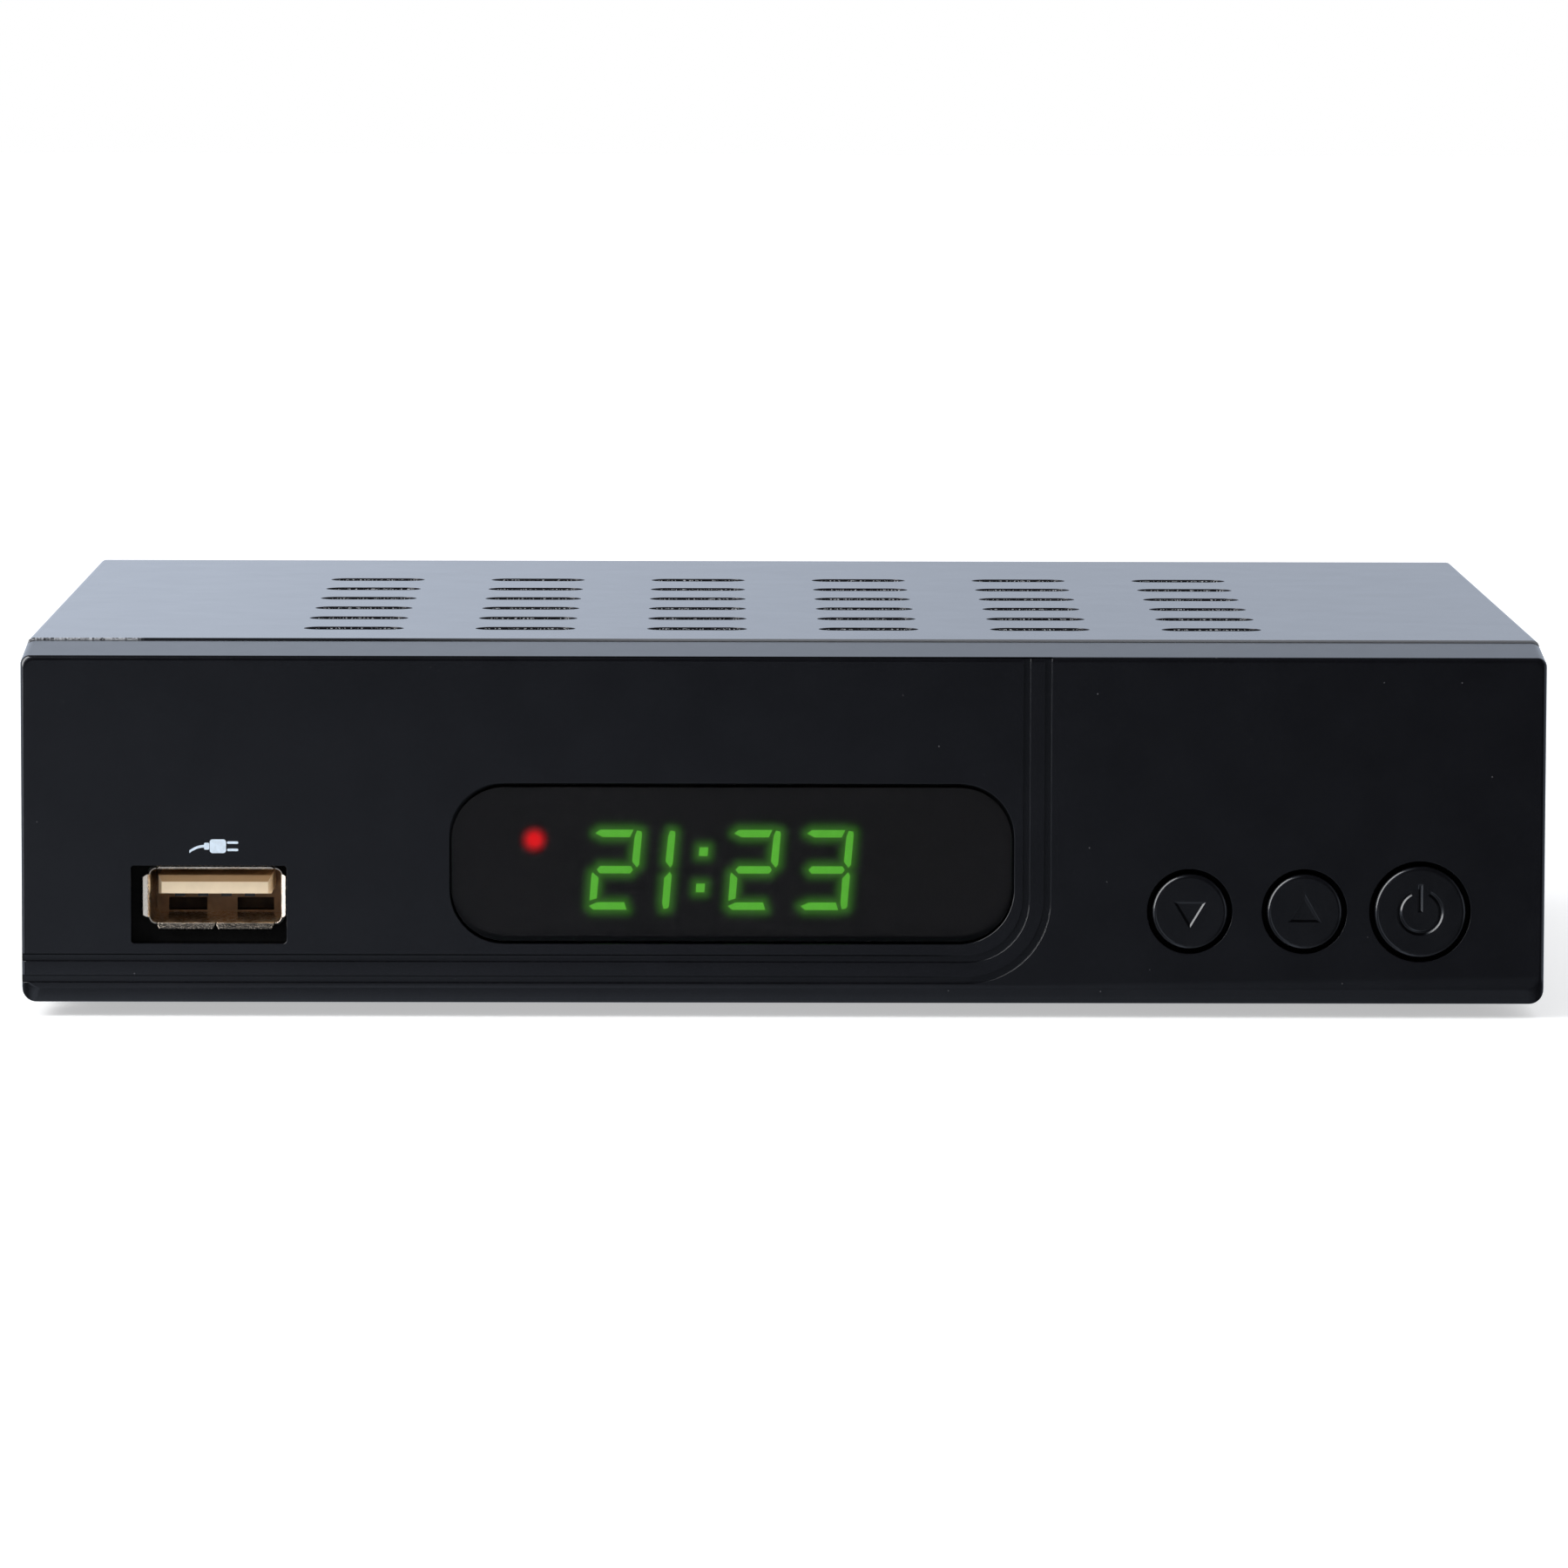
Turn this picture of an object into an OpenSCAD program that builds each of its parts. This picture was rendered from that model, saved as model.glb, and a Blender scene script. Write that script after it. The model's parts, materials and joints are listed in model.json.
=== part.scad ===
// Cable television receiver: a small black set-top box with a moulded front panel,
// a folded steel case, a clock display, three push buttons and sockets front and back.
// Millimetres. X runs along the front, Y from front to back, Z up from the table.

/* [Front panel] */
// Width of the front panel
panel_w = 150; // [146:1:160]
// Height of the front panel
panel_h = 34.3; // [33:0.1:40]
// Depth of the front panel's rim
panel_depth = 6.6; // [5.5:0.1:8]
// Wall of the front panel
panel_wall = 2; // [1.6:0.1:2.6]
// Narrowing of each side of the panel towards its back
side_taper = 0.1; // [0:0.1:0.6]
// Rise of the panel's top towards its back
top_rise = 1; // [0:0.1:1.6]
// Height of the slanted strip along the lower edge of the face
bevel_h = 1.5; // [0.8:0.1:2]
// Depth of the slanted strip along the lower edge of the face
bevel_d = 0.6; // [0.4:0.1:1]
// Radius of the face's upper corners
top_corner_r = 0.9; // [0.5:0.1:2]
// Radius of the face's lower corners
bottom_corner_r = 1.4; // [0.5:0.1:2]
// Radius along the edge of the face
edge_r = 0.5; // [0.2:0.05:0.55]
// How far the panel hangs below the underside of the tray
panel_drop = 0.7; // [0.3:0.1:1.2]
// Length of the panel's lip under the cover
lip_reach = 3; // [2:0.1:3.2]
// Thickness of the lip under the cover
lip_t = 1.4; // [1:0.1:2]
// Depth of the two trim lines cut into the face
groove_depth = 0.3; // [0.1:0.05:0.6]
// Width of each trim line
groove_w = 0.7; // [0.4:0.05:0.9]
// Distance from the first trim line to the second
groove_step = 2.1; // [1.4:0.1:2.3]
// Inner radius of the bend in the first trim line
groove_r = 5.4; // [4:0.1:8]
// Distance from the window to the first trim line
groove_gap = 0.8; // [0.6:0.1:1.2]
// Distance from the window's lower edge to the first trim line
groove_under = 1.1; // [0.8:0.1:1.4]

/* [Display window] */
// Width of the window
lens_w = 55.6; // [50:0.1:58]
// Height of the window
lens_h = 15.9; // [15:0.1:18]
// Corner radius of the window
lens_r = 5.4; // [2:0.1:6.5]
// Centre of the window, right of the panel's centre
lens_x = -5.1; // [-7:0.1:-4]
// Lower edge of the window above the panel's lower edge
lens_low = 5.9; // [5.4:0.1:7]
// How far the window lies behind the face
lens_recess = 0.3; // [0.1:0.05:0.6]
// Gap round the window
lens_gap = 0.2; // [0.05:0.05:0.3]
// Gap above the window
lens_top_gap = 0.45; // [0.2:0.05:0.6]
// Width of the window's flange behind the panel
lens_flange_w = 1.2; // [0.8:0.1:1.6]
// Thickness of the window's flange
lens_flange_t = 1.2; // [0.8:0.1:1.6]
// Gap between the window and the lit segments
segment_gap = 0.2; // [0.1:0.05:0.4]

/* [Clock digits] */
// Width of the digit module
module_w = 30; // [28.5:0.1:33]
// Height of the digit module
module_h = 13; // [10:0.1:14]
// Centre of the digit module, right of the panel's centre
module_x = -6.1; // [-7:0.1:-5]
// Centre of the digit module below the window's centre
module_drop = 0.9; // [0:0.1:1.2]
// Half the width of a digit between the middles of its upright bars
digit_half_w = 1.95; // [1.5:0.05:2]
// Half the height of a digit between the middles of its level bars
digit_half_h = 3.6; // [3:0.05:4]
// Thickness of a bar of a digit
bar_t = 0.72; // [0.5:0.02:0.8]
// Lean of the digits in degrees
digit_lean = 5; // [0:1:12]
// Side of a colon dot
dot_side = 0.85; // [0.5:0.05:1]
// Thickness of the lit segments
segment_t = 0.15; // [0.1:0.05:0.3]
// Diameter of the status lamp
lamp_d = 3; // [2:0.1:3.4]
// Centre of the status lamp, right of the panel's centre
lamp_x = -24.6; // [-25.5:0.1:-23.8]
// Centre of the status lamp above the window's lower edge
lamp_rise = 10; // [8:0.1:11]
// Gap between the window and the tip of the status lamp
lamp_gap = 0.8; // [0.4:0.1:1.2]
// Centre of the remote sensor, right of the panel's centre
sensor_x = 15.5; // [14:0.1:17]
// Side of the remote sensor
sensor_side = 5.5; // [4:0.1:6]

/* [Buttons] */
// Diameter of the hole for the two small buttons
small_hole_d = 8.4; // [7.6:0.1:9]
// Diameter of the hole for the power button
power_hole_d = 10; // [9:0.1:10.6]
// Gap round a button cap
cap_gap = 0.5; // [0.3:0.05:0.6]
// How far a button cap stands out of the face
cap_proud = 0.4; // [0.1:0.05:0.8]
// Radius of a button cap's edge
cap_edge_r = 0.4; // [0.2:0.05:0.6]
// Depth of the sign pressed into a button cap
sign_depth = 0.15; // [0.05:0.05:0.3]
// Width of the sloping sides of a sign
sign_slope = 0.2; // [0.05:0.01:0.2]
// Height of the centres of the buttons above the panel's lower edge
button_rise = 9.2; // [8.6:0.1:12]
// Distance from the panel's right edge to the power button's hole
power_edge = 7.3; // [6.5:0.1:9]
// Distance between the holes of the power button and the up button
power_gap = 2.2; // [2:0.1:3]
// Distance between the holes of the up button and the down button
small_gap = 2.9; // [2:0.1:4]
// Overlap of a button's flange behind the panel
flange_lap = 0.7; // [0.5:0.05:0.8]
// Thickness of a button's flange
flange_t = 0.8; // [0.6:0.05:1]
// Gap between the panel and a button's flange at rest
flange_gap = 0.15; // [0.1:0.05:0.3]
// Width of the key that stops a button turning
key_w = 1.6; // [1.2:0.1:2]
// Gap on each side of the key
key_gap = 0.3; // [0.3:0.05:0.4]
// Diameter of a button's stem
stem_d = 4; // [3.6:0.1:4.6]
// Length of a button's stem
stem_len = 2.35; // [2:0.05:3]
// Travel of a button
button_travel = 0.4; // [0.2:0.05:0.5]

/* [Button switches] */
// Side of a switch body
switch_side = 6; // [5.5:0.1:6.4]
// Height of a switch body
switch_h = 3.3; // [2.9:0.1:4]
// Thickness of a switch's metal frame
frame_t = 0.2; // [0.15:0.05:0.3]
// Gap between a button's stem and the switch frame at rest
frame_gap = 0.8; // [0.7:0.05:1]
// Diameter of a switch plunger
plunger_d = 3.4; // [2.6:0.1:3.4]
// Gap round a switch plunger
plunger_gap = 0.1; // [0.05:0.01:0.1]
// Depth of the plunger inside the switch at rest
plunger_in = 1.3; // [0.8:0.1:1.5]
// Space under the plunger when the button is pressed
plunger_spare = 0.4; // [0.3:0.05:0.5]

/* [Case] */
// Depth of the cover
cover_depth = 105; // [100:1:125]
// Step from the panel's side to the cover's side
cover_inset = 0.2; // [0.1:0.05:0.6]
// Step from the panel's top up to the cover's top
cover_step = 0.2; // [0:0.05:0.4]
// Gap between the panel and the cover's front edge
cover_gap = 0.1; // [0.05:0.05:0.3]
// Thickness of the steel sheet
sheet_t = 0.6; // [0.5:0.05:0.8]
// Outer radius of the cover's bends
bend_r = 0.7; // [0.7:0.05:1.5]
// Gap between the tray and the cover
tray_gap = 0.15; // [0.1:0.05:0.2]
// Height of the tray's side flanges
flange_h = 12.4; // [12:0.1:16]
// Length of a vent slot in the top
slot_len = 10; // [8:0.1:12]
// Width of a vent slot in the top
slot_w = 3.6; // [1.5:0.1:4]
// Distance between the columns of slots
slot_column = 17.2; // [14:0.1:19]
// Distance between the rows of slots
slot_row = 12.9; // [10:0.1:13]
// Distance from the cover's front edge to the first row of slots
slot_front = 12.3; // [10:0.1:18]
// Height of the slots in the cover's sides
side_slot_h = 14; // [8:0.5:16]
// Width of the slots in the cover's sides
side_slot_w = 2.5; // [1.5:0.1:3]
// Distance between the slots in the cover's sides
side_slot_step = 6.5; // [5:0.1:7]
// Width of the cover's rear tabs
tab_w = 12; // [10:0.5:16]
// Height of the cover's rear tabs
tab_h = 7.6; // [7.2:0.1:9]
// Distance from the cover's side to the middle of a rear tab
tab_edge = 20; // [14:0.5:24]

/* [Feet] */
// Height of a rubber foot
foot_h = 2.2; // [1.6:0.1:4]
// Diameter of a rubber foot
foot_d = 11; // [8:0.5:13]
// Distance from the tray's side to the middle of a foot
foot_side = 12; // [10:0.5:18]
// Distance from the tray's front and back to the middle of a foot
foot_end = 15; // [13:0.5:20]

/* [Circuit boards] */
// Thickness of a circuit board
board_t = 1.6; // [1:0.1:2]
// Height of the standoffs under the main board
standoff_h = 4.5; // [4.3:0.1:5.5]
// Diameter of a standoff
standoff_d = 6; // [5:0.1:7]
// Gap between the main board and the tray's side
board_gap = 0.65; // [0.4:0.05:1]
// Gap between the front board and the main board
board_step = 1.8; // [1:0.1:3]
// Diameter of the panel's bosses for the front board
boss_d = 5; // [4.4:0.1:6]
// Width of the ribbon cable
ribbon_w = 14; // [8:0.5:16]
// Thickness of the ribbon cable
ribbon_t = 0.9; // [0.6:0.1:1.2]
// Distance from the front board's right end to the middle of the ribbon cable
ribbon_edge = 18.35; // [14:0.05:22]

/* [Front data socket] */
// Width of the socket's shell
data_w = 13.1; // [12.8:0.1:13.4]
// Height of the socket's shell
data_h = 5.7; // [5.5:0.1:6]
// Length of the socket's shell
data_len = 13; // [12:0.1:16]
// Wall of the socket's shell
data_wall = 0.3; // [0.2:0.05:0.4]
// Middle of the socket from the panel's left edge
data_edge = 18.9; // [17:0.1:21]
// How far the socket's lips lie behind the face
data_recess = 0.9; // [0.5:0.1:1.2]
// Outward flare of the socket's lips
data_flare = 0.35; // [0.1:0.05:0.4]
// Width of the panel's opening for the socket
data_hole_w = 15.3; // [15.1:0.1:17]
// Height of the panel's opening for the socket
data_hole_h = 7.7; // [7.6:0.1:9]
// Corner radius of the panel's opening for the socket
data_hole_r = 0.35; // [0.2:0.05:1]

/* [Rear sockets] */
// Distance from the board's right edge to the aerial input
aerial_edge = 10.5; // [10:0.1:12]
// Distance from the aerial input to the aerial output
aerial_pitch = 16; // [14:0.1:17]
// Distance from the aerial output to the audio socket
audio_pitch = 15; // [14.5:0.1:17]
// Distance from the audio socket to the video socket
video_pitch = 15; // [14:0.1:17]
// Distance from the board's left edge to the power socket
power_socket_edge = 8; // [6:0.1:8.5]
// Distance from the board's left edge to the middle of the television socket
tv_edge = 39.5; // [38:0.1:41]
// How far the aerial sockets stand out of the rear wall
aerial_reach = 9.5; // [8:0.1:12]
// Bore of the aerial input
aerial_bore_d = 9.6; // [9.5:0.05:9.8]
// Wall of the aerial input's sleeve
aerial_in_wall = 0.8; // [0.5:0.1:1.2]
// Outer diameter of the aerial output
aerial_out_d = 9.5; // [9.4:0.05:9.5]
// Wall of the aerial output's sleeve
aerial_out_wall = 0.65; // [0.4:0.05:1]
// Diameter of the aerial output's pin
aerial_pin_d = 2.4; // [2.2:0.05:2.5]
// Outer diameter of the audio socket's sleeve
audio_d = 8.3; // [8.2:0.05:8.4]
// Wall of the audio socket's sleeve
audio_wall = 0.5; // [0.3:0.05:0.7]
// How far the audio socket stands out of the rear wall
audio_reach = 8.5; // [7:0.1:9.5]
// Width of the video socket
video_w = 15; // [14.5:0.1:16]
// Height of the video socket
video_h = 5.6; // [5.2:0.1:6]
// Wall of the video socket's shell
video_wall = 0.35; // [0.25:0.05:0.45]
// Length of the video socket
video_len = 12; // [10:0.1:14]
// How far the flat sockets stand out of the rear wall
flat_reach = 1.2; // [0.8:0.1:2]
// Width of the television socket
tv_w = 48; // [46:0.1:49]
// Height of the television socket
tv_h = 16; // [15:0.1:17]
// Length of the television socket
tv_len = 13; // [12:0.1:15]
// Depth of the television socket's recess
tv_recess = 9; // [7:0.1:10]
// Rim of the television socket
tv_rim = 1.5; // [1:0.1:2]
// Space for the plug's shield round the television socket's block
tv_space = 1.6; // [1.2:0.1:2]
// Width of the power socket's body
power_socket_w = 9; // [8.8:0.1:10]
// Height of the power socket's body
power_socket_h = 11; // [10:0.1:12]
// Length of the power socket's body
power_socket_len = 13; // [12:0.1:15]
// Bore of the power socket
power_bore_d = 6.3; // [5.5:0.1:6.4]
// Diameter of the power socket's pin
power_pin_d = 2.1; // [1.9:0.1:2.5]
// Gap round the sockets in the rear wall
socket_gap = 0.3; // [0.2:0.05:0.5]
// Thickness of the collar at the foot of a round socket
collar_t = 0.6; // [0.4:0.05:0.8]
// How far the collar of a round socket stands out of the rear wall
collar_reach = 0.8; // [0.5:0.1:1.5]

/* [Tuner] */
// Length of the tuner can
tuner_len = 34; // [28:0.5:36]
// Height of the tuner can
tuner_h = 15; // [14.5:0.1:18]
// Height of the aerial sockets above the main board
aerial_rise = 7.1; // [6.8:0.1:7.3]
// Wall of the tuner can
tuner_wall = 0.4; // [0.3:0.05:0.6]
// Distance from an aerial socket's middle to the side of the tuner can
tuner_margin = 7.5; // [7:0.1:8]

/* [Screws] */
// Diameter of the screw holes in the case
case_hole_d = 3; // [2.6:0.1:3.2]
// Diameter of a case screw's head
case_head_d = 5.4; // [4.8:0.1:6]
// Height of a case screw's head
case_head_h = 1.2; // [0.8:0.1:1.3]
// Length of a case screw's shank
case_screw_len = 3.2; // [2.4:0.1:3.6]
// Diameter of the screw holes for the boards
board_hole_d = 2.4; // [2:0.1:2.6]
// Diameter of a board screw's head
board_head_d = 4.4; // [4:0.1:4.8]
// Height of a board screw's head
board_head_h = 1.1; // [0.8:0.1:1.4]
// Length of a board screw's shank
board_screw_len = 5; // [4.5:0.1:5.5]
// Gap between a screw's shank and its hole
thread_gap = 0.05; // [0.02:0.01:0.1]

/* [Hidden] */

// Roundness of true circles, and of the corners that are blended into the panel
$fn = 64;
blend_fn = 32;
// Overlap that makes a cut run cleanly past a face
past = 0.5;
// Thickness of one slice of a blended shape, and the steps round the edge of the face
slice = 0.01;
edge_steps = 4;

// Gaps between the pieces of the case, and between a socket and its seat
case_gap = 0.2;
seat_gap = 0.1;
// What a hole is wider than a screw that passes through it freely, and narrower than one that bites
free_d = 0.4;
bite_d = 0.4;
pilot_d = board_hole_d - bite_d;

// Heights from the table up
panel_z = foot_h - panel_drop;
tray_top = foot_h + sheet_t;
board_z = tray_top + standoff_h;
board_top = board_z + board_t;
panel_top = panel_z + panel_h;
cover_top = panel_top + top_rise + cover_step;
cover_in_top = cover_top - sheet_t;
tray_rim = cover_in_top - (bend_r - sheet_t);
cover_low = foot_h + 2 * case_gap;

// Widths, as distances from the middle plane
panel_half = panel_w / 2;
cavity_half = panel_half - side_taper - panel_wall;
cover_half = panel_half - cover_inset;
cover_in_half = cover_half - sheet_t;
tray_half = cover_in_half - tray_gap;
tray_in_half = tray_half - sheet_t;
board_half = tray_in_half - board_gap;

// Depths from the face back
cover_front = panel_depth + cover_gap;
cover_back = cover_front + cover_depth;
wall_back = cover_back - sheet_t - cover_gap;
wall_front = wall_back - sheet_t;
tray_front = panel_depth + 1.5 * case_gap;
lip_back = panel_depth + lip_reach;
socket_seat = wall_front - seat_gap;
lens_back = panel_wall + lens_flange_t;
flange_front = panel_wall + flange_gap;
stem_back = flange_front + flange_t + stem_len;
switch_front = stem_back + frame_gap + frame_t;
front_board_y = switch_front + switch_h;
front_board_back = front_board_y + board_t;
main_front = front_board_back + board_step;
board_back_gap = 0.9;
main_back = wall_front - board_back_gap;
module_front = lens_back + segment_gap + segment_t;
rear_reach = wall_back + aerial_reach;
// The origin lies on the table under the middle of the whole box
frame_y = -(rear_reach - cap_proud) / 2;

// Window and trim lines on the face
lens_z = panel_z + lens_low + lens_h / 2;
lens_left = lens_x - lens_w / 2;
lens_right = lens_x + lens_w / 2;
lens_top = lens_z + lens_h / 2;
groove_x = lens_right + groove_gap - groove_r;
groove_z = panel_z + lens_low - groove_under + groove_r;
lamp_z = panel_z + lens_low + lamp_rise;
module_z = lens_z - module_drop;
lamp_rim = 0.3;
lamp_rim_t = 1;
sensor_gap = 2.2;
sensor_dome_in = 0.2;
sensor_dome_share = 0.7;
// Corners of a bar: side and level of the digit, then the steps from there in half thicknesses
TOP_BAR = [[-1, 1, -0.9, 0], [-1, 1, 0.3, 1], [1, 1, -1.4, 1], [1, 1, -2.2, -1], [-1, 1, 1.2, -1]];
RIGHT_BAR = [
    [1, 1, -0.4, 0.8], [1, 1, 0.7, 0.6], [1, 1, 1, 0], [1, 0, 1, 1.5], [1, 0, 0.4, 0.65], [1, 0, -1, 2.3],
    [1, 1, -0.9, -0.75]
];
LEFT_BAR = [[-1, 0, -0.8, 0.75], [-1, 0, -1, 1.8], [-1, 1, -0.9, -1.5], [-1, 1, 1, -2.1], [-1, 0, 1, 2.2]];
MIDDLE_BAR = [
    [-1, 0, 0.35, 0], [-1, 0, 1.2, 1], [1, 0, -1.25, 1], [1, 0, -0.6, 0], [1, 0, -1.25, -1], [-1, 0, 1.2, -1]
];
// Each figure of the clock: its place from the middle of the module, and its lit bars
FIGURES = [[-10.5, "abged"], [-7.2, "bc"], [3.2, "abged"], [10.4, "abgcd"]];
colon_x = -1.95;

// Buttons from the right edge of the face
button_z = panel_z + button_rise;
small_hole_r = small_hole_d / 2;
power_hole_r = power_hole_d / 2;
power_x = panel_half - power_edge - power_hole_r;
up_x = power_x - power_hole_r - power_gap - small_hole_r;
down_x = up_x - 2 * small_hole_r - small_gap;
BUTTONS = [[down_x, small_hole_r], [up_x, small_hole_r], [power_x, power_hole_r]];
key_len = 1;
rib_w = 1;
rib_h = 2.6;
// Signs on the buttons: a triangle, and an open ring with a bar
arrow_half_w = 1.6;
arrow_low = -1;
arrow_high = 1.65;
arrow_side = sqrt(pow(arrow_half_w, 2) + pow(arrow_high - arrow_low, 2));
arrow_inner_r = arrow_half_w * (arrow_high - arrow_low) / (arrow_half_w + arrow_side);
ring_r = 2.3;
ring_stroke = 0.5;
ring_bar_over = 0.5;

// Lugs of the panel that are screwed to the tray from below
lug_w = 6;
lug_h = 4;
lug_x = tray_in_half - 1.5 * case_gap - lug_w / 2;
lug_clear = 0.5;
lug_lap = 1;
lug_front = flange_front + flange_t + button_travel + lug_clear;
lug_back = main_front + lug_lap;
lug_screw_y = (tray_front + lug_back) / 2;
panel_screw_len = 4;
lug_bore = 4;

// Front board and the bosses that carry it
front_margin = 8.1;
front_rise = 3;
front_over = 3.8;
front_left = lens_left - front_margin;
front_right = lug_x - lug_w / 2 - 2.5 * case_gap;
front_low = panel_z + front_rise;
front_high = lens_top + front_over;
boss_in = 2.6;
boss_mid_x = (lens_right + down_x - small_hole_r) / 2;
BOSSES = [
    [front_left + boss_in, front_high - boss_in],
    [boss_mid_x, front_high - boss_in],
    [front_right - boss_in, front_high - boss_in],
    [boss_mid_x, front_low + boss_in]
];
boss_bore = 5.4;

// Front data socket, carried on a tongue of the main board
data_x = data_edge - panel_half;
data_z = board_top + data_h / 2 + seat_gap;
data_hole_shift = 0.46;
data_hole_drop = 0.63;
data_hole_x = data_x - data_hole_shift;
data_hole_z = data_z - data_hole_drop;
data_back = data_recess + data_len;
data_tongue_w = 11.2;
data_tongue_h = 1.85;
data_tongue_rise = 1.05;
data_tongue_in = 1.6;
data_tongue_front = data_recess + data_tongue_in;
data_block_t = 2.5;
data_contact_w = 1;
data_contact_t = 0.2;
data_contact_step = 2.3;
data_contact_in = 0.8;
data_contacts = 4;
lip_len = 1.2;
lip_corner = 0.9;
board_tab_half = 11.5;
board_tab_gap = 1.5;
board_tab_front = panel_wall + board_tab_gap;

// Rear sockets
aerial_in_x = board_half - aerial_edge;
aerial_out_x = aerial_in_x - aerial_pitch;
audio_x = aerial_out_x - audio_pitch;
video_x = audio_x - video_pitch;
power_socket_x = -board_half + power_socket_edge;
tv_x = -board_half + tv_edge;
aerial_z = board_top + aerial_rise;
audio_side = 10.4;
audio_len = 11;
audio_lift = 1.3;
video_lift = 0.4;
tv_lift = 0.2;
audio_z = board_top + audio_side / 2 + audio_lift;
audio_body_h = audio_side + audio_lift;
video_z = board_top + video_h / 2 + video_lift;
tv_z = board_top + tv_h / 2 + tv_lift;
power_socket_z = board_top + power_socket_h / 2;
power_collar_t = 1;
power_collar_r = power_bore_d / 2 + power_collar_t;
tuner_gap = 1;
tuner_back = wall_front - tuner_gap;
tuner_front = tuner_back - tuner_len;
tuner_top = board_top + tuner_h;
aerial_in_r = aerial_bore_d / 2;
aerial_out_r = aerial_out_d / 2;
contact_wall = 0.8;
contact_recess = 1.5;
contact_r = aerial_pin_d / 2 + contact_wall;
insulator_t = 3;
audio_contact_r = 2.2;
audio_pin_r = 1.65;
audio_contact_in = 2;
audio_core_recess = 1;
audio_contact_recess = 2;
power_bore_depth = 9.5;
pin_recess = 0.8;
// Video socket: cut corners, base, tongue and legs
video_cut = 1.6;
video_base = 3;
video_tongue_low = -0.2;
video_tongue_high = 0.9;
video_tongue_in = 2;
video_leg_in = 2.6;
video_leg_w = 1;
// Television socket: slanted corner, contacts, their slots and the legs
tv_slant = 4;
tv_contacts = 10;
tv_step = 3.7;
tv_row = 2.4;
tv_slot = [1.1, 3.4];
tv_blade = [0.5, 2.8];
tv_blade_in = 1.5;
tv_leg_in = 4;
tv_leg_w = 2;
tv_leg_back = 2;
lid_skirt = 3;
lid_gap = 0.05;

// Standoffs and screws of the main board
standoff_in = 6.5;
standoff_front_in = 7;
standoff_back_in = 39.5;
standoff_mid_in = 6;
standoff_front = main_front + standoff_front_in;
standoff_back = main_back - standoff_back_in;
standoff_mid_x = (tv_x + tv_w / 2 + video_x - video_w / 2) / 2;
STANDOFFS = [
    [-board_half + standoff_in, standoff_front], [board_half - standoff_in, standoff_front],
    [-board_half + standoff_in, standoff_back], [board_half - standoff_in, standoff_back],
    [standoff_mid_x, main_back - standoff_mid_in]
];

// Screws of the cover
side_screw_rise = 2.6;
side_screw_front = 23;
side_screw_back = 17;
tab_screw_rise = 3.2;
side_screw_z = board_top + side_screw_rise;
SIDE_SCREWS = [cover_front + side_screw_front, cover_back - side_screw_back];
tab_x = cover_half - tab_edge;
tab_low = cover_top - tab_h;
tab_screw_z = tab_low + tab_screw_rise;
side_slot_rise = 5.5;
side_slot_z = side_screw_z + side_slot_rise;
side_slots = 9;
slot_columns = 6;
slot_rows = 6;
// Vents in the tray's floor
vent_columns = 5;
vent_rows = 7;
vent_front = 16;
// Set-backs of the tray's side flanges and of the panel's side lips
flange_setback = 3.1;
lip_clear = 1.4;

// Feet
foot_bevel = 0.5;
FEET = [for (x = [-1, 1], y = [tray_front + foot_end, wall_back - foot_end])
    [x * (tray_half - foot_side), y]];

// Parts on the main board, from its middle and its front edge
chip_at = [12, 46];
chip_side = 17;
chip_h = 1.4;
pad_side = 15;
pad_h = 0.5;
sink_side = 26;
sink_h = 11;
sink_base = 2.5;
sink_fins = 7;
fin_t = 1.2;
memory_size = [12, 8, 1.1];
MEMORY_AT = [[-12, 40], [-12, 52]];
// Each capacitor: x, y, diameter, height
CAPACITORS = [
    [-52, 46, 8, 12], [-52, 58, 8, 12], [-40, 70, 6.3, 8], [-28, 70, 6.3, 8], [40, 26, 5, 7], [30, 26, 5, 7]
];
inductor_side = 7;
inductor_h = 4.5;
inductor_base = 0.9;
inductor_d = 6.3;
INDUCTOR_AT = [[-38, 50], [-38, 60], [-24, 58]];
crystal_size = [11, 4.6, 3.6];
crystal_at = [34, 46];
regulator_size = [6.6, 3.6, 1.7];
REGULATOR_AT = [[-52, 30], [-38, 30], [-24, 30]];
regulator_tab = [3, 1.8, 0.3];
regulator_leg = [0.8, 1.8, 0.3];
regulator_leg_step = 2.2;
regulator_leg_out = 0.8;
// Each capacitor has a groove near its foot, as deep as this, between two shares of its height
cap_groove = 0.2;
cap_foot_share = 0.12;
cap_groove_share = 0.2;

// Ribbon cable in a quarter turn from the front board down to the main board
header_t = 3.5;
header_end = 1.2;
header_w = ribbon_w + 2 * header_end;
header_h = 5;
ribbon_turn_r = 5.6;
ribbon_x = front_right - ribbon_edge;
front_header_z = board_top + header_h + ribbon_turn_r;
main_header_y = front_board_back + header_t + ribbon_turn_r;

// Moves the model so that its origin is on the table under its middle
module in_frame() {
    translate([0, frame_y, 0]) children();
}

// A block from its lowest corner to its highest corner
module block(low, high) {
    translate(low) cube(high - low);
}

// A shape drawn in X and Z, drawn out from y0 to y1
module along_y(y0, y1) {
    translate([0, y1, 0]) rotate([90, 0, 0]) linear_extrude(y1 - y0) children();
}

// A shape drawn in Y and Z, drawn out from x0 to x1
module along_x(x0, x1) {
    translate([x0, 0, 0]) rotate([90, 0, 90]) linear_extrude(x1 - x0) children();
}

// A round bar along Y
module rod_y(r, y0, y1) {
    translate([0, y0, 0]) rotate([-90, 0, 0]) cylinder(r = r, h = y1 - y0);
}

// A pipe along Y
module pipe_y(r_out, r_in, y0, y1) {
    difference() {
        rod_y(r_out, y0, y1);
        rod_y(r_in, y0 - past, y1 + past);
    }
}

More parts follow.
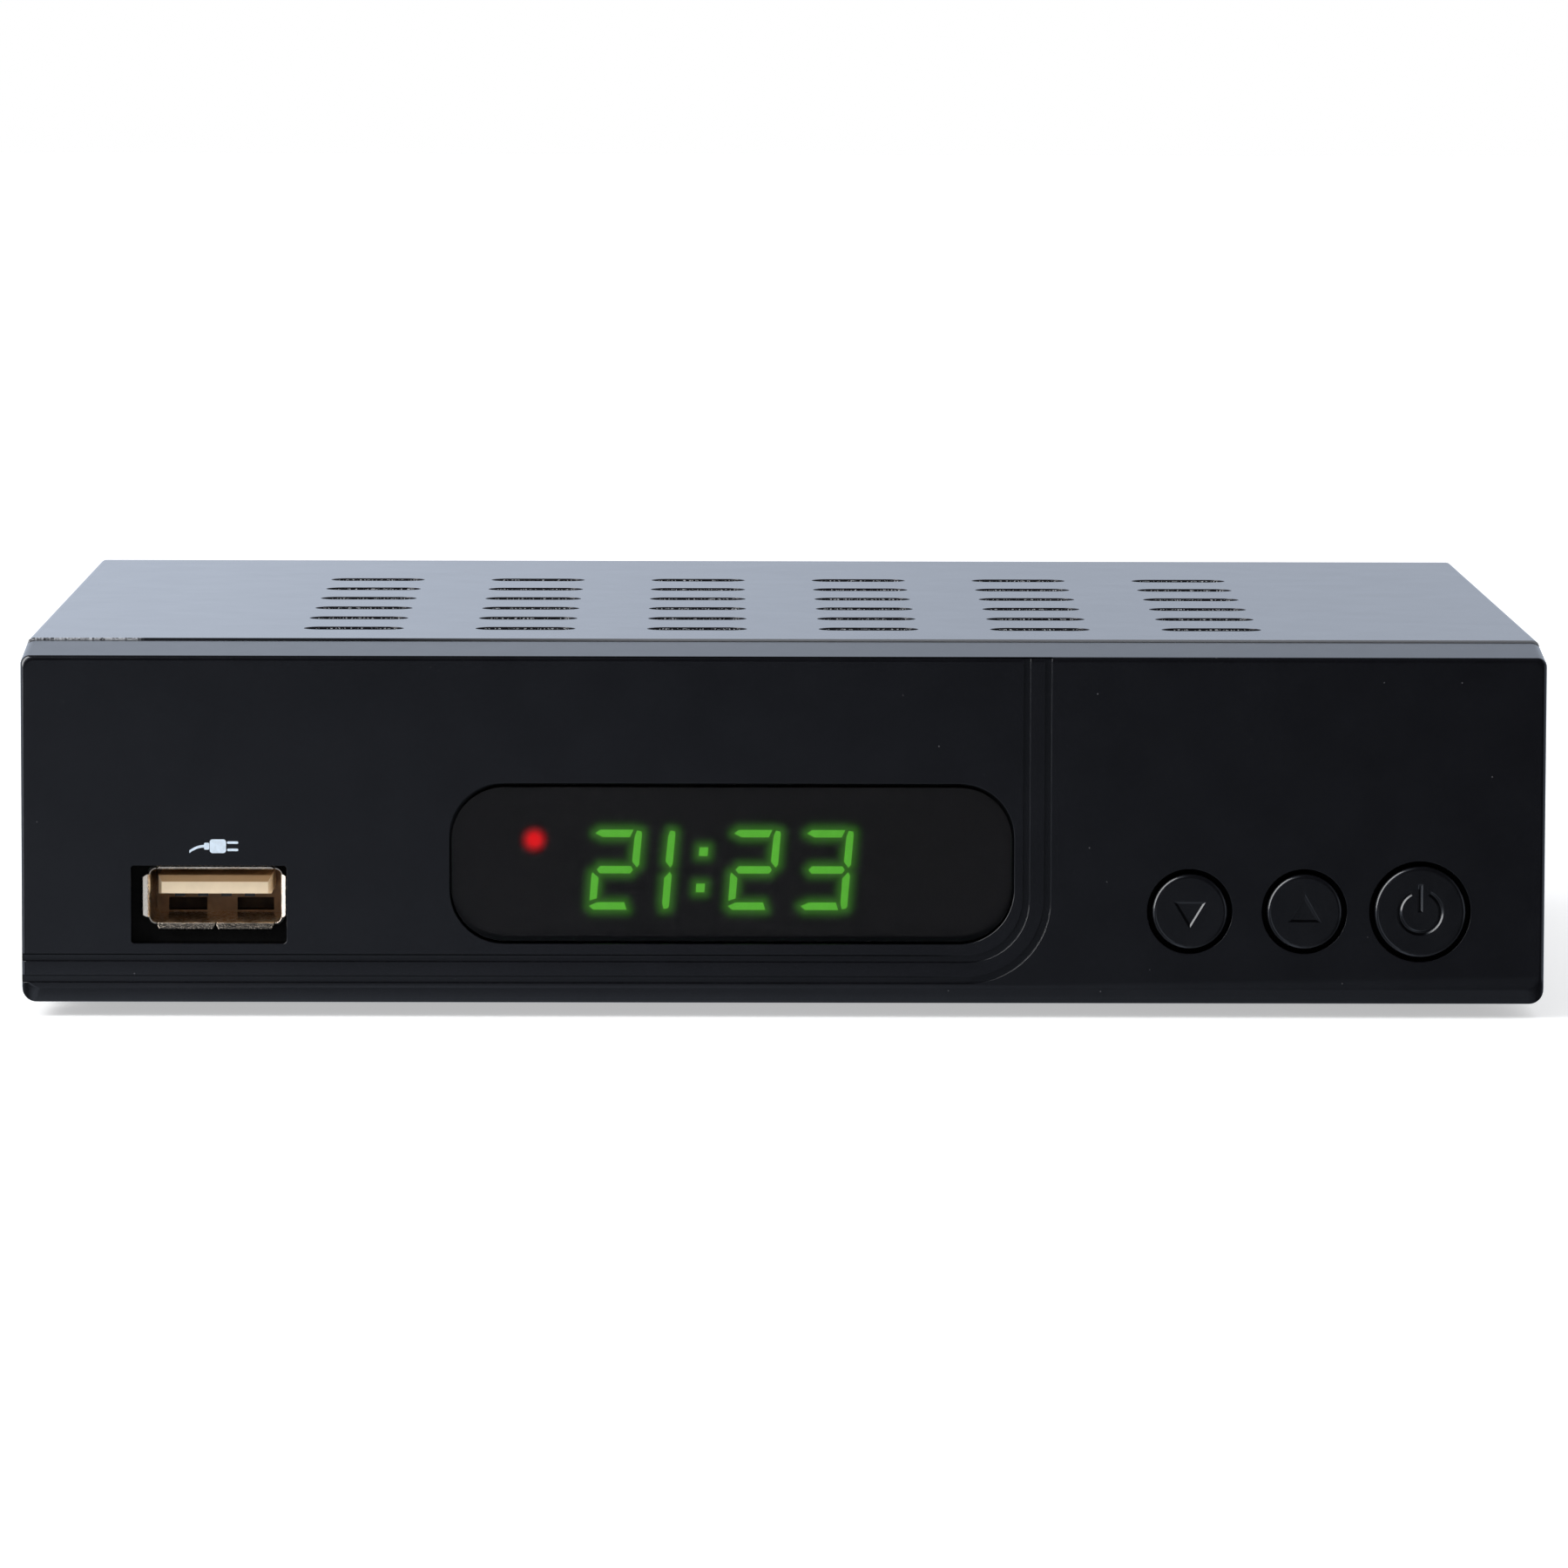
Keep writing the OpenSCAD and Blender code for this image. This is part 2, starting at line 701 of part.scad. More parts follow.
// A flat rectangle with round corners, about its middle
module rounded(w, h, r) {
    square([w - 2 * r, h], center = true);
    square([w, h - 2 * r], center = true);
    for (x = [-1, 1], y = [-1, 1]) translate([x * (w / 2 - r), y * (h / 2 - r)]) circle(r);
}

// A flat slot with round ends, long in its first direction
module obround(len, w) {
    square([len - w, w], center = true);
    for (s = [-1, 1]) translate([s * (len - w) / 2, 0]) circle(w / 2);
}

// A screw with a domed head and a cross recess, head up, seated at z = 0
module screw(hole_d, len, head_d, head_h) {
    dome_r = (pow(head_d / 2, 2) + pow(head_h, 2)) / (2 * head_h);
    cross = [head_d * 0.5, head_d * 0.13, head_h * 0.7];
    translate([0, 0, -len]) cylinder(d = hole_d - 2 * thread_gap, h = len);
    difference() {
        rotate_extrude() intersection() {
            square([head_d, head_h]);
            translate([0, head_h - dome_r]) circle(dome_r);
        }
        for (turn = [0, 90]) rotate([0, 0, turn]) translate([0, 0, head_h]) cube(cross, center = true);
    }
}

// One slice of the panel's outside: depth, step in from the edge, lower edge, rise and taper so far
module panel_slice(y, step_in, low, share) {
    half = panel_half - step_in - side_taper * share;
    top = panel_top - step_in + top_rise * share;
    for (s = [-1, 1]) {
        translate([s * (half - top_corner_r), y, top - top_corner_r])
            rod_y(top_corner_r, 0, slice, $fn = blend_fn);
        translate([s * (half - bottom_corner_r), y, low + bottom_corner_r])
            rod_y(bottom_corner_r, 0, slice, $fn = blend_fn);
    }
}

// The panel's outside, from the rounded edge of the face to the tapered back
module panel_body() {
    hull() {
        for (i = [0:edge_steps]) {
            turn = 90 * i / edge_steps;
            y = edge_r * (1 - cos(turn));
            panel_slice(y, edge_r * (1 - sin(turn)), panel_z + bevel_h * max(0, 1 - y / bevel_d), 0);
        }
        panel_slice(bevel_d, 0, panel_z, 0);
        panel_slice(panel_depth - slice, 0, panel_z, 1);
    }
}

// One trim line: along the face from the left, round a bend and up to the top
module trim_line(r) {
    translate([groove_x, groove_z]) {
        translate([-panel_w, -r - groove_w]) square([panel_w, groove_w]);
        translate([r, 0]) square([groove_w, panel_h]);
        intersection() {
            difference() {
                circle(r + groove_w);
                circle(r);
            }
            translate([0, -2 * r]) square(2 * r);
        }
    }
}

// The lip that the cover slides over, along the top and down both sides
module panel_lip() {
    lip_top = cover_in_top - case_gap;
    lip_half = cover_in_half - case_gap;
    side_low = foot_h + flange_h + lip_clear;
    front = panel_depth - lip_t;
    block([-lip_half + bend_r, front, lip_top - lip_t], [lip_half - bend_r, lip_back, lip_top]);
    for (s = [-1, 1]) {
        x = s * (lip_half - lip_t / 2);
        block([x - lip_t / 2, front, side_low], [x + lip_t / 2, lip_back, lip_top - bend_r - lip_t]);
    }
}

// Two ribs that keep a button's key from turning
module key_ribs(at) {
    hole_r = at[1];
    tip_z = button_z - hole_r - flange_lap - key_len;
    for (s = [-1, 1]) {
        x = at[0] + s * (key_w / 2 + key_gap + rib_w / 2);
        block([x - rib_w / 2, panel_wall - past, tip_z],
            [x + rib_w / 2, panel_wall + rib_h, tip_z + key_len - key_gap]);
    }
}

module front_panel() {
    color("#1b1c20") difference() {
        union() {
            difference() {
                panel_body();
                block([-cavity_half, panel_wall, panel_z + panel_wall],
                    [cavity_half, panel_depth + past, panel_top - panel_wall]);
            }
            panel_lip();
            for (b = BUTTONS) key_ribs(b);
            for (b = BOSSES) translate([b[0], 0, b[1]]) rod_y(boss_d / 2, panel_wall - past, front_board_y);
            for (s = [-1, 1]) block([s * lug_x - lug_w / 2, lug_front, tray_top + seat_gap / 2],
                [s * lug_x + lug_w / 2, lug_back, tray_top + lug_h]);
        }
        along_y(-past, panel_wall + past) translate([lens_x, lens_z]) rounded(lens_w, lens_h, lens_r);
        along_y(-past, panel_wall + past) translate([data_hole_x, data_hole_z])
            rounded(data_hole_w, data_hole_h, data_hole_r);
        along_y(-past, groove_depth) trim_line(groove_r);
        along_y(-past, groove_depth) trim_line(groove_r + groove_step);
        for (b = BUTTONS) translate([b[0], 0, button_z]) rod_y(b[1], -past, panel_wall + past);
        for (b = BOSSES) translate([b[0], 0, b[1]])
            rod_y(pilot_d / 2, front_board_y - boss_bore, front_board_y + past);
        for (s = [-1, 1]) translate([s * lug_x, lug_screw_y, tray_top - past])
            cylinder(d = case_hole_d, h = lug_bore + past);
    }
}

module display_lens() {
    color("#161518") {
        along_y(lens_recess, panel_wall) translate([lens_x, lens_z - (lens_top_gap - lens_gap) / 2])
            rounded(lens_w - 2 * lens_gap, lens_h - lens_gap - lens_top_gap, lens_r - lens_gap);
        along_y(panel_wall, lens_back) translate([lens_x, lens_z])
            rounded(lens_w + 2 * lens_flange_w, lens_h + 2 * lens_flange_w, lens_r + lens_flange_w);
    }
}

// The sockets' cut-outs in the rear wall
module rear_holes() {
    translate([aerial_in_x, aerial_z]) circle(aerial_in_r + aerial_in_wall + collar_t + socket_gap);
    translate([aerial_out_x, aerial_z]) circle(aerial_out_r + collar_t + socket_gap);
    translate([audio_x, audio_z]) circle(audio_d / 2 + collar_t + socket_gap);
    translate([video_x, video_z]) square([video_w + 2 * socket_gap, video_h + 2 * socket_gap], center = true);
    translate([tv_x, tv_z]) square([tv_w + 2 * socket_gap, tv_h + 2 * socket_gap], center = true);
    translate([power_socket_x, power_socket_z]) circle(power_collar_r + socket_gap);
    for (s = [-1, 1]) translate([s * tab_x, tab_screw_z]) circle(d = case_hole_d);
}

// The vents in the tray's floor
module floor_vents() {
    for (c = [0:vent_columns - 1], r = [0:vent_rows - 1])
        translate([(c - (vent_columns - 1) / 2) * slot_column,
            standoff_front + vent_front + r * side_slot_step]) obround(slot_len, side_slot_w);
}

module chassis_tray() {
    flange_top = foot_h + flange_h;
    flange_start = tray_front + flange_setback;
    color("#17181b") difference() {
        union() {
            block([-tray_half, tray_front, foot_h], [tray_half, wall_back, tray_top]);
            block([-tray_half, wall_front, foot_h], [tray_half, wall_back, tray_rim]);
            for (s = [-1, 1]) {
                x = s * (tray_half - sheet_t / 2);
                block([x - sheet_t / 2, flange_start, foot_h], [x + sheet_t / 2, wall_back, flange_top]);
            }
        }
        along_y(wall_front - past, wall_back + past) rear_holes();
        translate([0, 0, foot_h - past]) linear_extrude(sheet_t + 2 * past) floor_vents();
        for (s = [-1, 1]) translate([s * lug_x, lug_screw_y, foot_h - past])
            cylinder(d = case_hole_d + free_d, h = sheet_t + 2 * past);
        for (s = STANDOFFS) translate([s[0], s[1], foot_h - past])
            cylinder(d = board_hole_d, h = sheet_t + 2 * past);
        for (y = SIDE_SCREWS) translate([-panel_w, y, side_screw_z])
            rotate([0, 90, 0]) cylinder(d = case_hole_d, h = 2 * panel_w);
    }
}

// The folded section of the cover: two sides and a top joined by round bends
module cover_section(half, top, low, r) {
    translate([-half, low]) square([2 * half, top - r - low]);
    translate([-half + r, low]) square([2 * (half - r), top - low]);
    for (s = [-1, 1]) translate([s * (half - r), top - r]) circle(r);
}

module top_cover() {
    color("#17181b") difference() {
        union() {
            along_y(cover_front, cover_back) difference() {
                cover_section(cover_half, cover_top, cover_low, bend_r);
                cover_section(cover_in_half, cover_in_top, cover_low - past, bend_r - sheet_t);
            }
            for (s = [-1, 1]) block([s * tab_x - tab_w / 2, cover_back - sheet_t, tab_low],
                [s * tab_x + tab_w / 2, cover_back, cover_top - sheet_t / 2]);
        }
        translate([0, cover_front + slot_front, cover_in_top - past]) linear_extrude(sheet_t + 2 * past)
            for (c = [0:slot_columns - 1], r = [0:slot_rows - 1])
                translate([(c - (slot_columns - 1) / 2) * slot_column, r * slot_row])
                    obround(slot_len, slot_w);
        along_x(-panel_w, panel_w) for (i = [0:side_slots - 1])
            translate([(cover_front + cover_back) / 2 + (i - (side_slots - 1) / 2) * side_slot_step,
                side_slot_z + side_slot_h / 2]) rotate(90) obround(side_slot_h, side_slot_w);
        for (y = SIDE_SCREWS) translate([-panel_w, y, side_screw_z])
            rotate([0, 90, 0]) cylinder(d = case_hole_d + free_d, h = 2 * panel_w);
        for (s = [-1, 1]) translate([s * tab_x, 0, tab_screw_z])
            rod_y((case_hole_d + free_d) / 2, cover_back - sheet_t - past / 4, cover_back + past);
    }
}

module rubber_feet() {
    color("#111113") for (f = FEET) translate([f[0], f[1], 0]) {
        cylinder(d1 = foot_d - 2 * foot_bevel, d2 = foot_d, h = foot_bevel);
        translate([0, 0, foot_bevel]) cylinder(d = foot_d, h = foot_h - foot_bevel);
    }
}

// The case screws, all of one kind
module case_screw(len) {
    screw(case_hole_d, len, case_head_d, case_head_h);
}

module cover_side_screws() {
    color("#2a2b2e") for (y = SIDE_SCREWS, s = [-1, 1])
        translate([s * cover_half, y, side_screw_z]) rotate([0, s * 90, 0]) case_screw(case_screw_len);
}

module cover_rear_screws() {
    color("#2a2b2e") for (s = [-1, 1])
        translate([s * tab_x, cover_back, tab_screw_z]) rotate([-90, 0, 0]) case_screw(case_screw_len);
}

module panel_screws() {
    color("#2a2b2e") for (s = [-1, 1])
        translate([s * lug_x, lug_screw_y, foot_h]) rotate([180, 0, 0]) case_screw(panel_screw_len);
}

module standoffs() {
    color("#b8babd") for (s = STANDOFFS) translate([s[0], s[1], tray_top]) difference() {
        cylinder(d = standoff_d, h = standoff_h);
        translate([0, 0, -past]) cylinder(d = board_hole_d, h = standoff_h + 2 * past);
    }
}

module main_board() {
    color("#1f5a36") difference() {
        union() {
            block([-board_half, main_front, board_z], [board_half, main_back, board_top]);
            block([data_x - board_tab_half, board_tab_front, board_z],
                [data_x + board_tab_half, main_front + past, board_top]);
        }
        for (s = STANDOFFS) translate([s[0], s[1], board_z - past])
            cylinder(d = board_hole_d + free_d, h = board_t + 2 * past);
    }
}

// The board screws, all of one kind
module board_screw(hole_d) {
    screw(hole_d, board_screw_len, board_head_d, board_head_h);
}

module main_board_screws() {
    color("#c4c6c9") for (s = STANDOFFS) translate([s[0], s[1], board_top]) board_screw(board_hole_d);
}

module front_board() {
    color("#1f5a36") difference() {
        block([front_left, front_board_y, front_low], [front_right, front_board_back, front_high]);
        for (b = BOSSES) translate([b[0], 0, b[1]])
            rod_y(board_hole_d / 2, front_board_y - past, front_board_back + past);
    }
}

module front_board_screws() {
    color("#c4c6c9") for (b = BOSSES)
        translate([b[0], front_board_back, b[1]]) rotate([-90, 0, 0]) board_screw(pilot_d);
}

// A button cap with a rounded edge, a flange behind the panel, a key and a stem
module button_cap(hole_r) {
    cap_r = hole_r - cap_gap;
    cap_len = flange_front + cap_proud;
    flange_r = hole_r + flange_lap;
    translate([0, flange_front, 0]) rotate([90, 0, 0]) rotate_extrude() {
        square([cap_r - cap_edge_r, cap_len]);
        square([cap_r, cap_len - cap_edge_r]);
        translate([cap_r - cap_edge_r, cap_len - cap_edge_r]) circle(cap_edge_r);
    }
    rod_y(flange_r, flange_front, flange_front + flange_t);
    rod_y(stem_d / 2, flange_front, stem_back);
    block([-key_w / 2, flange_front, -flange_r - key_len], [key_w / 2, flange_front + flange_t, -cap_r]);
}

// A hollow pressed into the front of a cap, from its outline to its smaller floor
module hollow() {
    floor_y = -cap_proud + sign_depth;
    hull() {
        along_y(-cap_proud - past, -cap_proud) children(0);
        along_y(floor_y - slice, floor_y) children(1);
    }
}

// A triangle that points up, its sides stepped in from the outline
module arrow_shape(step_in) {
    share = 1 - step_in / arrow_inner_r;
    middle = arrow_low + arrow_inner_r;
    low = middle - arrow_inner_r * share;
    high = middle + (arrow_high - middle) * share;
    polygon([[-arrow_half_w * share, low], [arrow_half_w * share, low], [0, high]]);
}

// The bar of the power sign, its sides stepped in from the outline
module bar_shape(step_in) {
    w = ring_stroke - 2 * step_in;
    translate([-w / 2, step_in]) square([w, ring_r + ring_bar_over - 2 * step_in]);
}

module arrow_sign() {
    hollow() {
        arrow_shape(0);
        arrow_shape(sign_slope);
    }
}

// An open ring with an upright bar in its gap
module power_sign() {
    ring_in = ring_r - ring_stroke;
    difference() {
        translate([0, -cap_proud, 0]) rotate([90, 0, 0]) rotate_extrude() polygon([
            [ring_in, past], [ring_r, past], [ring_r, 0], [ring_r - sign_slope, -sign_depth],
            [ring_in + sign_slope, -sign_depth], [ring_in, 0]
        ]);
        along_y(-cap_proud - 2 * past, 0) polygon([[0, 0], [-ring_r, 2 * ring_r], [ring_r, 2 * ring_r]]);
    }
    hollow() {
        bar_shape(0);
        bar_shape(sign_slope);
    }
}

module down_button() {
    color("#16171a") translate([down_x, 0, button_z]) difference() {
        button_cap(small_hole_r);
        mirror([0, 0, 1]) arrow_sign();
    }
}

module up_button() {
    color("#16171a") translate([up_x, 0, button_z]) difference() {
        button_cap(small_hole_r);
        arrow_sign();
    }
}

module power_button() {
    color("#16171a") translate([power_x, 0, button_z]) difference() {
        button_cap(power_hole_r);
        power_sign();
    }
}

// A push switch on the front board, bored for its plunger
module push_switch(x) {
    half = switch_side / 2;
    bore_depth = plunger_in + button_travel + plunger_spare;
    color("#232326") translate([x, 0, button_z]) difference() {
        block([-half, switch_front, -half], [half, front_board_y, half]);
        rod_y(plunger_d / 2 + plunger_gap, switch_front - past, switch_front + bore_depth);
    }
}

module down_switch() {
    push_switch(down_x);
}

module up_switch() {
    push_switch(up_x);
}

module power_switch() {
    push_switch(power_x);
}

// The plunger between a button's stem and its switch
module plunger(x) {
    color("#7c2a22") translate([x, 0, button_z]) rod_y(plunger_d / 2, stem_back, switch_front + plunger_in);
}

module down_plunger() {
    plunger(down_x);
}

module up_plunger() {
    plunger(up_x);
}

module power_plunger() {
    plunger(power_x);
}

module switch_frames() {
    half = switch_side / 2;
    leg_w = 0.7;
    color("#c9cbce") for (b = BUTTONS) translate([b[0], 0, button_z]) {
        difference() {
            block([-half, switch_front - frame_t, -half], [half, switch_front, half]);
            rod_y(plunger_d / 2 + 2 * plunger_gap, 0, front_board_y);
        }
        for (s = [-1, 1]) block([s * (half + frame_t / 2) - frame_t / 2, switch_front - frame_t, -leg_w / 2],
            [s * (half + frame_t / 2) + frame_t / 2, front_board_y, leg_w / 2]);
    }
}

module digit_module() {
    color("#141416") block([module_x - module_w / 2, module_front, module_z - module_h / 2],
        [module_x + module_w / 2, front_board_y, module_z + module_h / 2]);
}

// A point of a leaning digit
function lean(p) = [p[0] + p[1] * tan(digit_lean), p[1]];

// One bar of a digit from its corners, turned upside down where flip is -1
module digit_bar(corners, flip) {
    h = bar_t / 2;
    polygon([for (c = corners)
        lean([c[0] * digit_half_w + c[2] * h, flip * (c[1] * digit_half_h + c[3] * h)])]);
}

// One digit from the names of its lit bars: a top, b c right, d bottom, e f left, g middle
module digit(x, bars) {
    translate([x, module_z]) for (bar = bars) {
        if (bar == "a") digit_bar(TOP_BAR, 1);
        if (bar == "b") digit_bar(RIGHT_BAR, 1);
        if (bar == "c") digit_bar(RIGHT_BAR, -1);
        if (bar == "d") digit_bar(TOP_BAR, -1);
        if (bar == "e") digit_bar(LEFT_BAR, -1);
        if (bar == "f") digit_bar(LEFT_BAR, 1);
        if (bar == "g") digit_bar(MIDDLE_BAR, 1);
    }
}

// The lit figures, from the middle of the digit module
module lit_figures() {
    for (f = FIGURES) digit(module_x + f[0], f[1]);
    for (z = [-1, 1]) translate(lean([0, z * digit_half_h / 2]) + [module_x + colon_x, module_z])
        polygon([for (p = [[-1, -1], [1, -1], [1, 1], [-1, 1]]) lean(p * dot_side / 2)]);
}

module lit_segments() {
    color("#56c435") along_y(module_front - segment_t, module_front) lit_figures();
}

module status_lamp() {
    lamp_r = lamp_d / 2;
    tip = lens_back + lamp_gap;
    color("#e01818") translate([lamp_x, 0, lamp_z]) {
        translate([0, tip + lamp_r, 0]) sphere(lamp_r);
        rod_y(lamp_r, tip + lamp_r, front_board_y);
        rod_y(lamp_r + lamp_rim, front_board_y - lamp_rim_t, front_board_y);
    }
}

module remote_sensor() {
    half = sensor_side / 2;
    color("#1c1a1d") translate([sensor_x, 0, lens_z]) {
        block([-half, lens_back + sensor_gap, -half], [half, front_board_y, half]);
        translate([0, lens_back + sensor_gap + sensor_dome_in, 0]) sphere(half * sensor_dome_share);
    }
}

// The lips round the mouth of a socket's shell, one on each side
module socket_lips() {
    w = data_w / 2;
    h = data_h / 2;
    y0 = data_recess;
    y1 = data_recess + lip_len;
    lip = [[y1, 0], [y0, data_flare], [y0, data_flare - data_wall], [y1, -data_wall]];
    for (s = [0, 1]) mirror([0, 0, s])
        along_x(-w + lip_corner, w - lip_corner) translate([0, h]) polygon(lip);
    for (s = [0, 1]) mirror([s, 0, 0]) translate([0, 0, -h + lip_corner]) linear_extrude(2 * (h - lip_corner))
        polygon([for (p = lip) [w + p[1], p[0]]]);
}

module data_socket_shell() {
    color("#c9c4b8") translate([data_x, 0, data_z]) {
        along_y(data_recess + lip_len, data_back) difference() {
            square([data_w, data_h], center = true);
            square([data_w - 2 * data_wall, data_h - 2 * data_wall], center = true);
        }
        socket_lips();
    }
}

module data_socket_tongue() {
    w = data_w / 2 - data_wall;
    h = data_h / 2 - data_wall;
    half = data_tongue_h / 2;
    color("#d8c9a4") translate([data_x, 0, data_z]) {
        block([-data_tongue_w / 2, data_tongue_front, data_tongue_rise - half],
            [data_tongue_w / 2, data_back - data_block_t / 2, data_tongue_rise + half]);
        block([-w, data_back - data_block_t, -h], [w, data_back, h]);
    }
}

module data_socket_contacts() {
    under = data_z + data_tongue_rise - data_tongue_h / 2;
    color("#d9b45a") for (i = [0:data_contacts - 1]) {
        x = data_x + (i - (data_contacts - 1) / 2) * data_contact_step;
        block([x - data_contact_w / 2, data_tongue_front + data_contact_in, under - data_contact_t],
            [x + data_contact_w / 2, data_back - data_block_t, under]);
    }
}

module ribbon_cable() {
    start = front_board_back + header_t;
    color("#c8c9cc") along_x(ribbon_x - ribbon_w / 2, ribbon_x + ribbon_w / 2)
        translate([start, board_top + header_h]) intersection() {
            difference() {
                circle(ribbon_turn_r + ribbon_t / 2);
                circle(ribbon_turn_r - ribbon_t / 2);
            }
            square(2 * ribbon_turn_r);
        }
}

module ribbon_headers() {
    x0 = ribbon_x - header_w / 2;
    x1 = ribbon_x + header_w / 2;
    color("#e6e2d6") {
        block([x0, front_board_back, front_header_z - header_h / 2],
            [x1, front_board_back + header_t, front_header_z + header_h / 2]);
        block([x0, main_header_y - header_t / 2, board_top],
            [x1, main_header_y + header_t / 2, board_top + header_h]);
    }
}

module tuner_can() {
    x0 = aerial_out_x - tuner_margin;
    x1 = aerial_in_x + tuner_margin;
    color("#b9bcc0") difference() {
        block([x0, tuner_front, board_top], [x1, tuner_back, tuner_top]);
        block([x0 + tuner_wall, tuner_front + tuner_wall, board_top + tuner_wall],
            [x1 - tuner_wall, tuner_back - tuner_wall, tuner_top + past]);
    }
}

module tuner_lid() {
    x0 = aerial_out_x - tuner_margin;
    x1 = aerial_in_x + tuner_margin;
    low = tuner_top - lid_skirt;
    out = tuner_wall + lid_gap;
    color("#c3c6ca") difference() {
        block([x0 - out, tuner_front - out, low], [x1 + out, tuner_back + out, tuner_top + tuner_wall]);
        block([x0 - lid_gap, tuner_front - lid_gap, low - past],
            [x1 + lid_gap, tuner_back + out + past, tuner_top]);
    }
}

// A round socket's sleeve, thicker at its foot where it passes the rear wall
module collared_sleeve(r_out, r_in, y0, y1) {
    difference() {
        union() {
            rod_y(r_out, y0, y1);
            rod_y(r_out + collar_t, y0, wall_back + collar_reach);
        }
        rod_y(r_in, y0 - past, y1 + past);
    }
}

module aerial_in_sleeve() {
    color("#c7c9cc") translate([aerial_in_x, 0, aerial_z])
        collared_sleeve(aerial_in_r + aerial_in_wall, aerial_in_r, tuner_back, rear_reach);
}

module aerial_in_contact() {
    tip = rear_reach - contact_recess;
    color("#d9b45a") translate([aerial_in_x, 0, aerial_z]) difference() {
        rod_y(contact_r, tuner_back, tip);
        rod_y(aerial_pin_d / 2, tuner_back + insulator_t, tip + past);
    }
}

module aerial_out_sleeve() {
    color("#c7c9cc") translate([aerial_out_x, 0, aerial_z])
        collared_sleeve(aerial_out_r, aerial_out_r - aerial_out_wall, tuner_back, rear_reach);
}

module aerial_out_pin() {
    color("#d9b45a") translate([aerial_out_x, 0, aerial_z])
        rod_y(aerial_pin_d / 2, tuner_back, rear_reach - pin_recess);
}

module aerial_insulators() {
    end = tuner_back + insulator_t;
    color("#ece8dc") {
        translate([aerial_in_x, 0, aerial_z]) pipe_y(aerial_in_r, contact_r, tuner_back, end);
        translate([aerial_out_x, 0, aerial_z])
            pipe_y(aerial_out_r - aerial_out_wall, aerial_pin_d / 2, tuner_back, end);
    }
}

module audio_socket_body() {
    half = audio_side / 2;
    inner_r = audio_d / 2 - audio_wall;
    color("#c8641e") translate([audio_x, 0, audio_z]) difference() {
        union() {
            block([-half, socket_seat - audio_len, half - audio_body_h], [half, socket_seat, half]);
            rod_y(inner_r, socket_seat - past, wall_back + audio_reach - audio_core_recess);
        }
        rod_y(audio_contact_r, socket_seat - audio_contact_in, wall_back + audio_reach);
    }
}

module audio_socket_sleeve() {
    color("#c7c9cc") translate([audio_x, 0, audio_z])
        collared_sleeve(audio_d / 2, audio_d / 2 - audio_wall, socket_seat, wall_back + audio_reach);
}

module audio_socket_contact() {
    color("#d9b45a") translate([audio_x, 0, audio_z])
        pipe_y(audio_contact_r, audio_pin_r, socket_seat - audio_contact_in,
            wall_back + audio_reach - audio_contact_recess);
}

// The video socket's outline: a flat box with its two lower corners cut off
module video_outline(step_in) {
    w = video_w / 2 - step_in;
    h = video_h / 2 - step_in;
    polygon([[-w, h], [w, h], [w, -h + video_cut], [w - video_cut, -h], [-w + video_cut, -h],
        [-w, -h + video_cut]]);
}

module video_socket_shell() {
    tip = wall_back + flat_reach;
    leg_front = tip - video_len + video_base - video_leg_w;
    leg_half = video_leg_w / 2;
    color("#c7c9cc") translate([video_x, 0, video_z]) {
        along_y(tip - video_len, tip) difference() {
            video_outline(0);
            video_outline(video_wall);
        }
        for (s = [-1, 1]) {
            x = s * (video_w / 2 - video_leg_in);
            block([x - leg_half, leg_front, board_top - video_z],
                [x + leg_half, leg_front + video_leg_w, -video_h / 2 + video_wall]);
        }
    }
}

module video_socket_tongue() {
    tip = wall_back + flat_reach;
    color("#141416") translate([video_x, 0, video_z]) {
        base = tip - video_len + video_base;
        along_y(tip - video_len, base) video_outline(video_wall);
        block([-video_w / 2 + video_cut, base - past, video_tongue_low],
            [video_w / 2 - video_cut, tip - video_tongue_in, video_tongue_high]);
    }
}

// The television socket's outline: a long box with one end slanted
module tv_outline(step_in) {
    w = tv_w / 2 - step_in;
    h = tv_h / 2 - step_in;
    polygon([[-w, h], [w, h], [w, -h], [-w + tv_slant, -h], [-w, -h + tv_slant]]);
}

// The places of the television socket's contacts, in two rows
module tv_places() {
    for (i = [0:tv_contacts - 1]) {
        x = (i - (tv_contacts - 1) / 2) * tv_step;
        translate([x, tv_row]) children();
        translate([x + tv_step / 3, -tv_row]) children();
    }
}

module tv_socket_body() {
    tip = wall_back + flat_reach;
    color("#131315") translate([tv_x, 0, tv_z]) {
        difference() {
            along_y(tip - tv_len, tip) square([tv_w, tv_h], center = true);
            along_y(tip - tv_recess, tip + past) difference() {
                tv_outline(tv_rim);
                tv_outline(tv_rim + tv_space);
            }
            along_y(tip - tv_recess, tip + past) tv_places() square(tv_slot, center = true);
        }
        for (s = [-1, 1]) {
            x = s * (tv_w / 2 - tv_leg_in);
            block([x - tv_leg_w / 2, tip - tv_len, board_top - tv_z],
                [x + tv_leg_w / 2, wall_front - tv_leg_back, -tv_h / 2]);
        }
    }
}

module tv_socket_contacts() {
    tip = wall_back + flat_reach;
    color("#d9b45a") translate([tv_x, 0, tv_z])
        along_y(tip - tv_recess, tip - tv_blade_in) tv_places() square(tv_blade, center = true);
}

module power_socket_body() {
    half = power_socket_w / 2;
    tip = wall_back + flat_reach;
    color("#131315") translate([power_socket_x, 0, power_socket_z]) difference() {
        union() {
            block([-half, socket_seat - power_socket_len, -power_socket_h / 2],
                [half, socket_seat, power_socket_h / 2]);
            rod_y(power_collar_r, socket_seat - past, tip);
        }
        rod_y(power_bore_d / 2, tip - power_bore_depth, tip + past);
    }
}

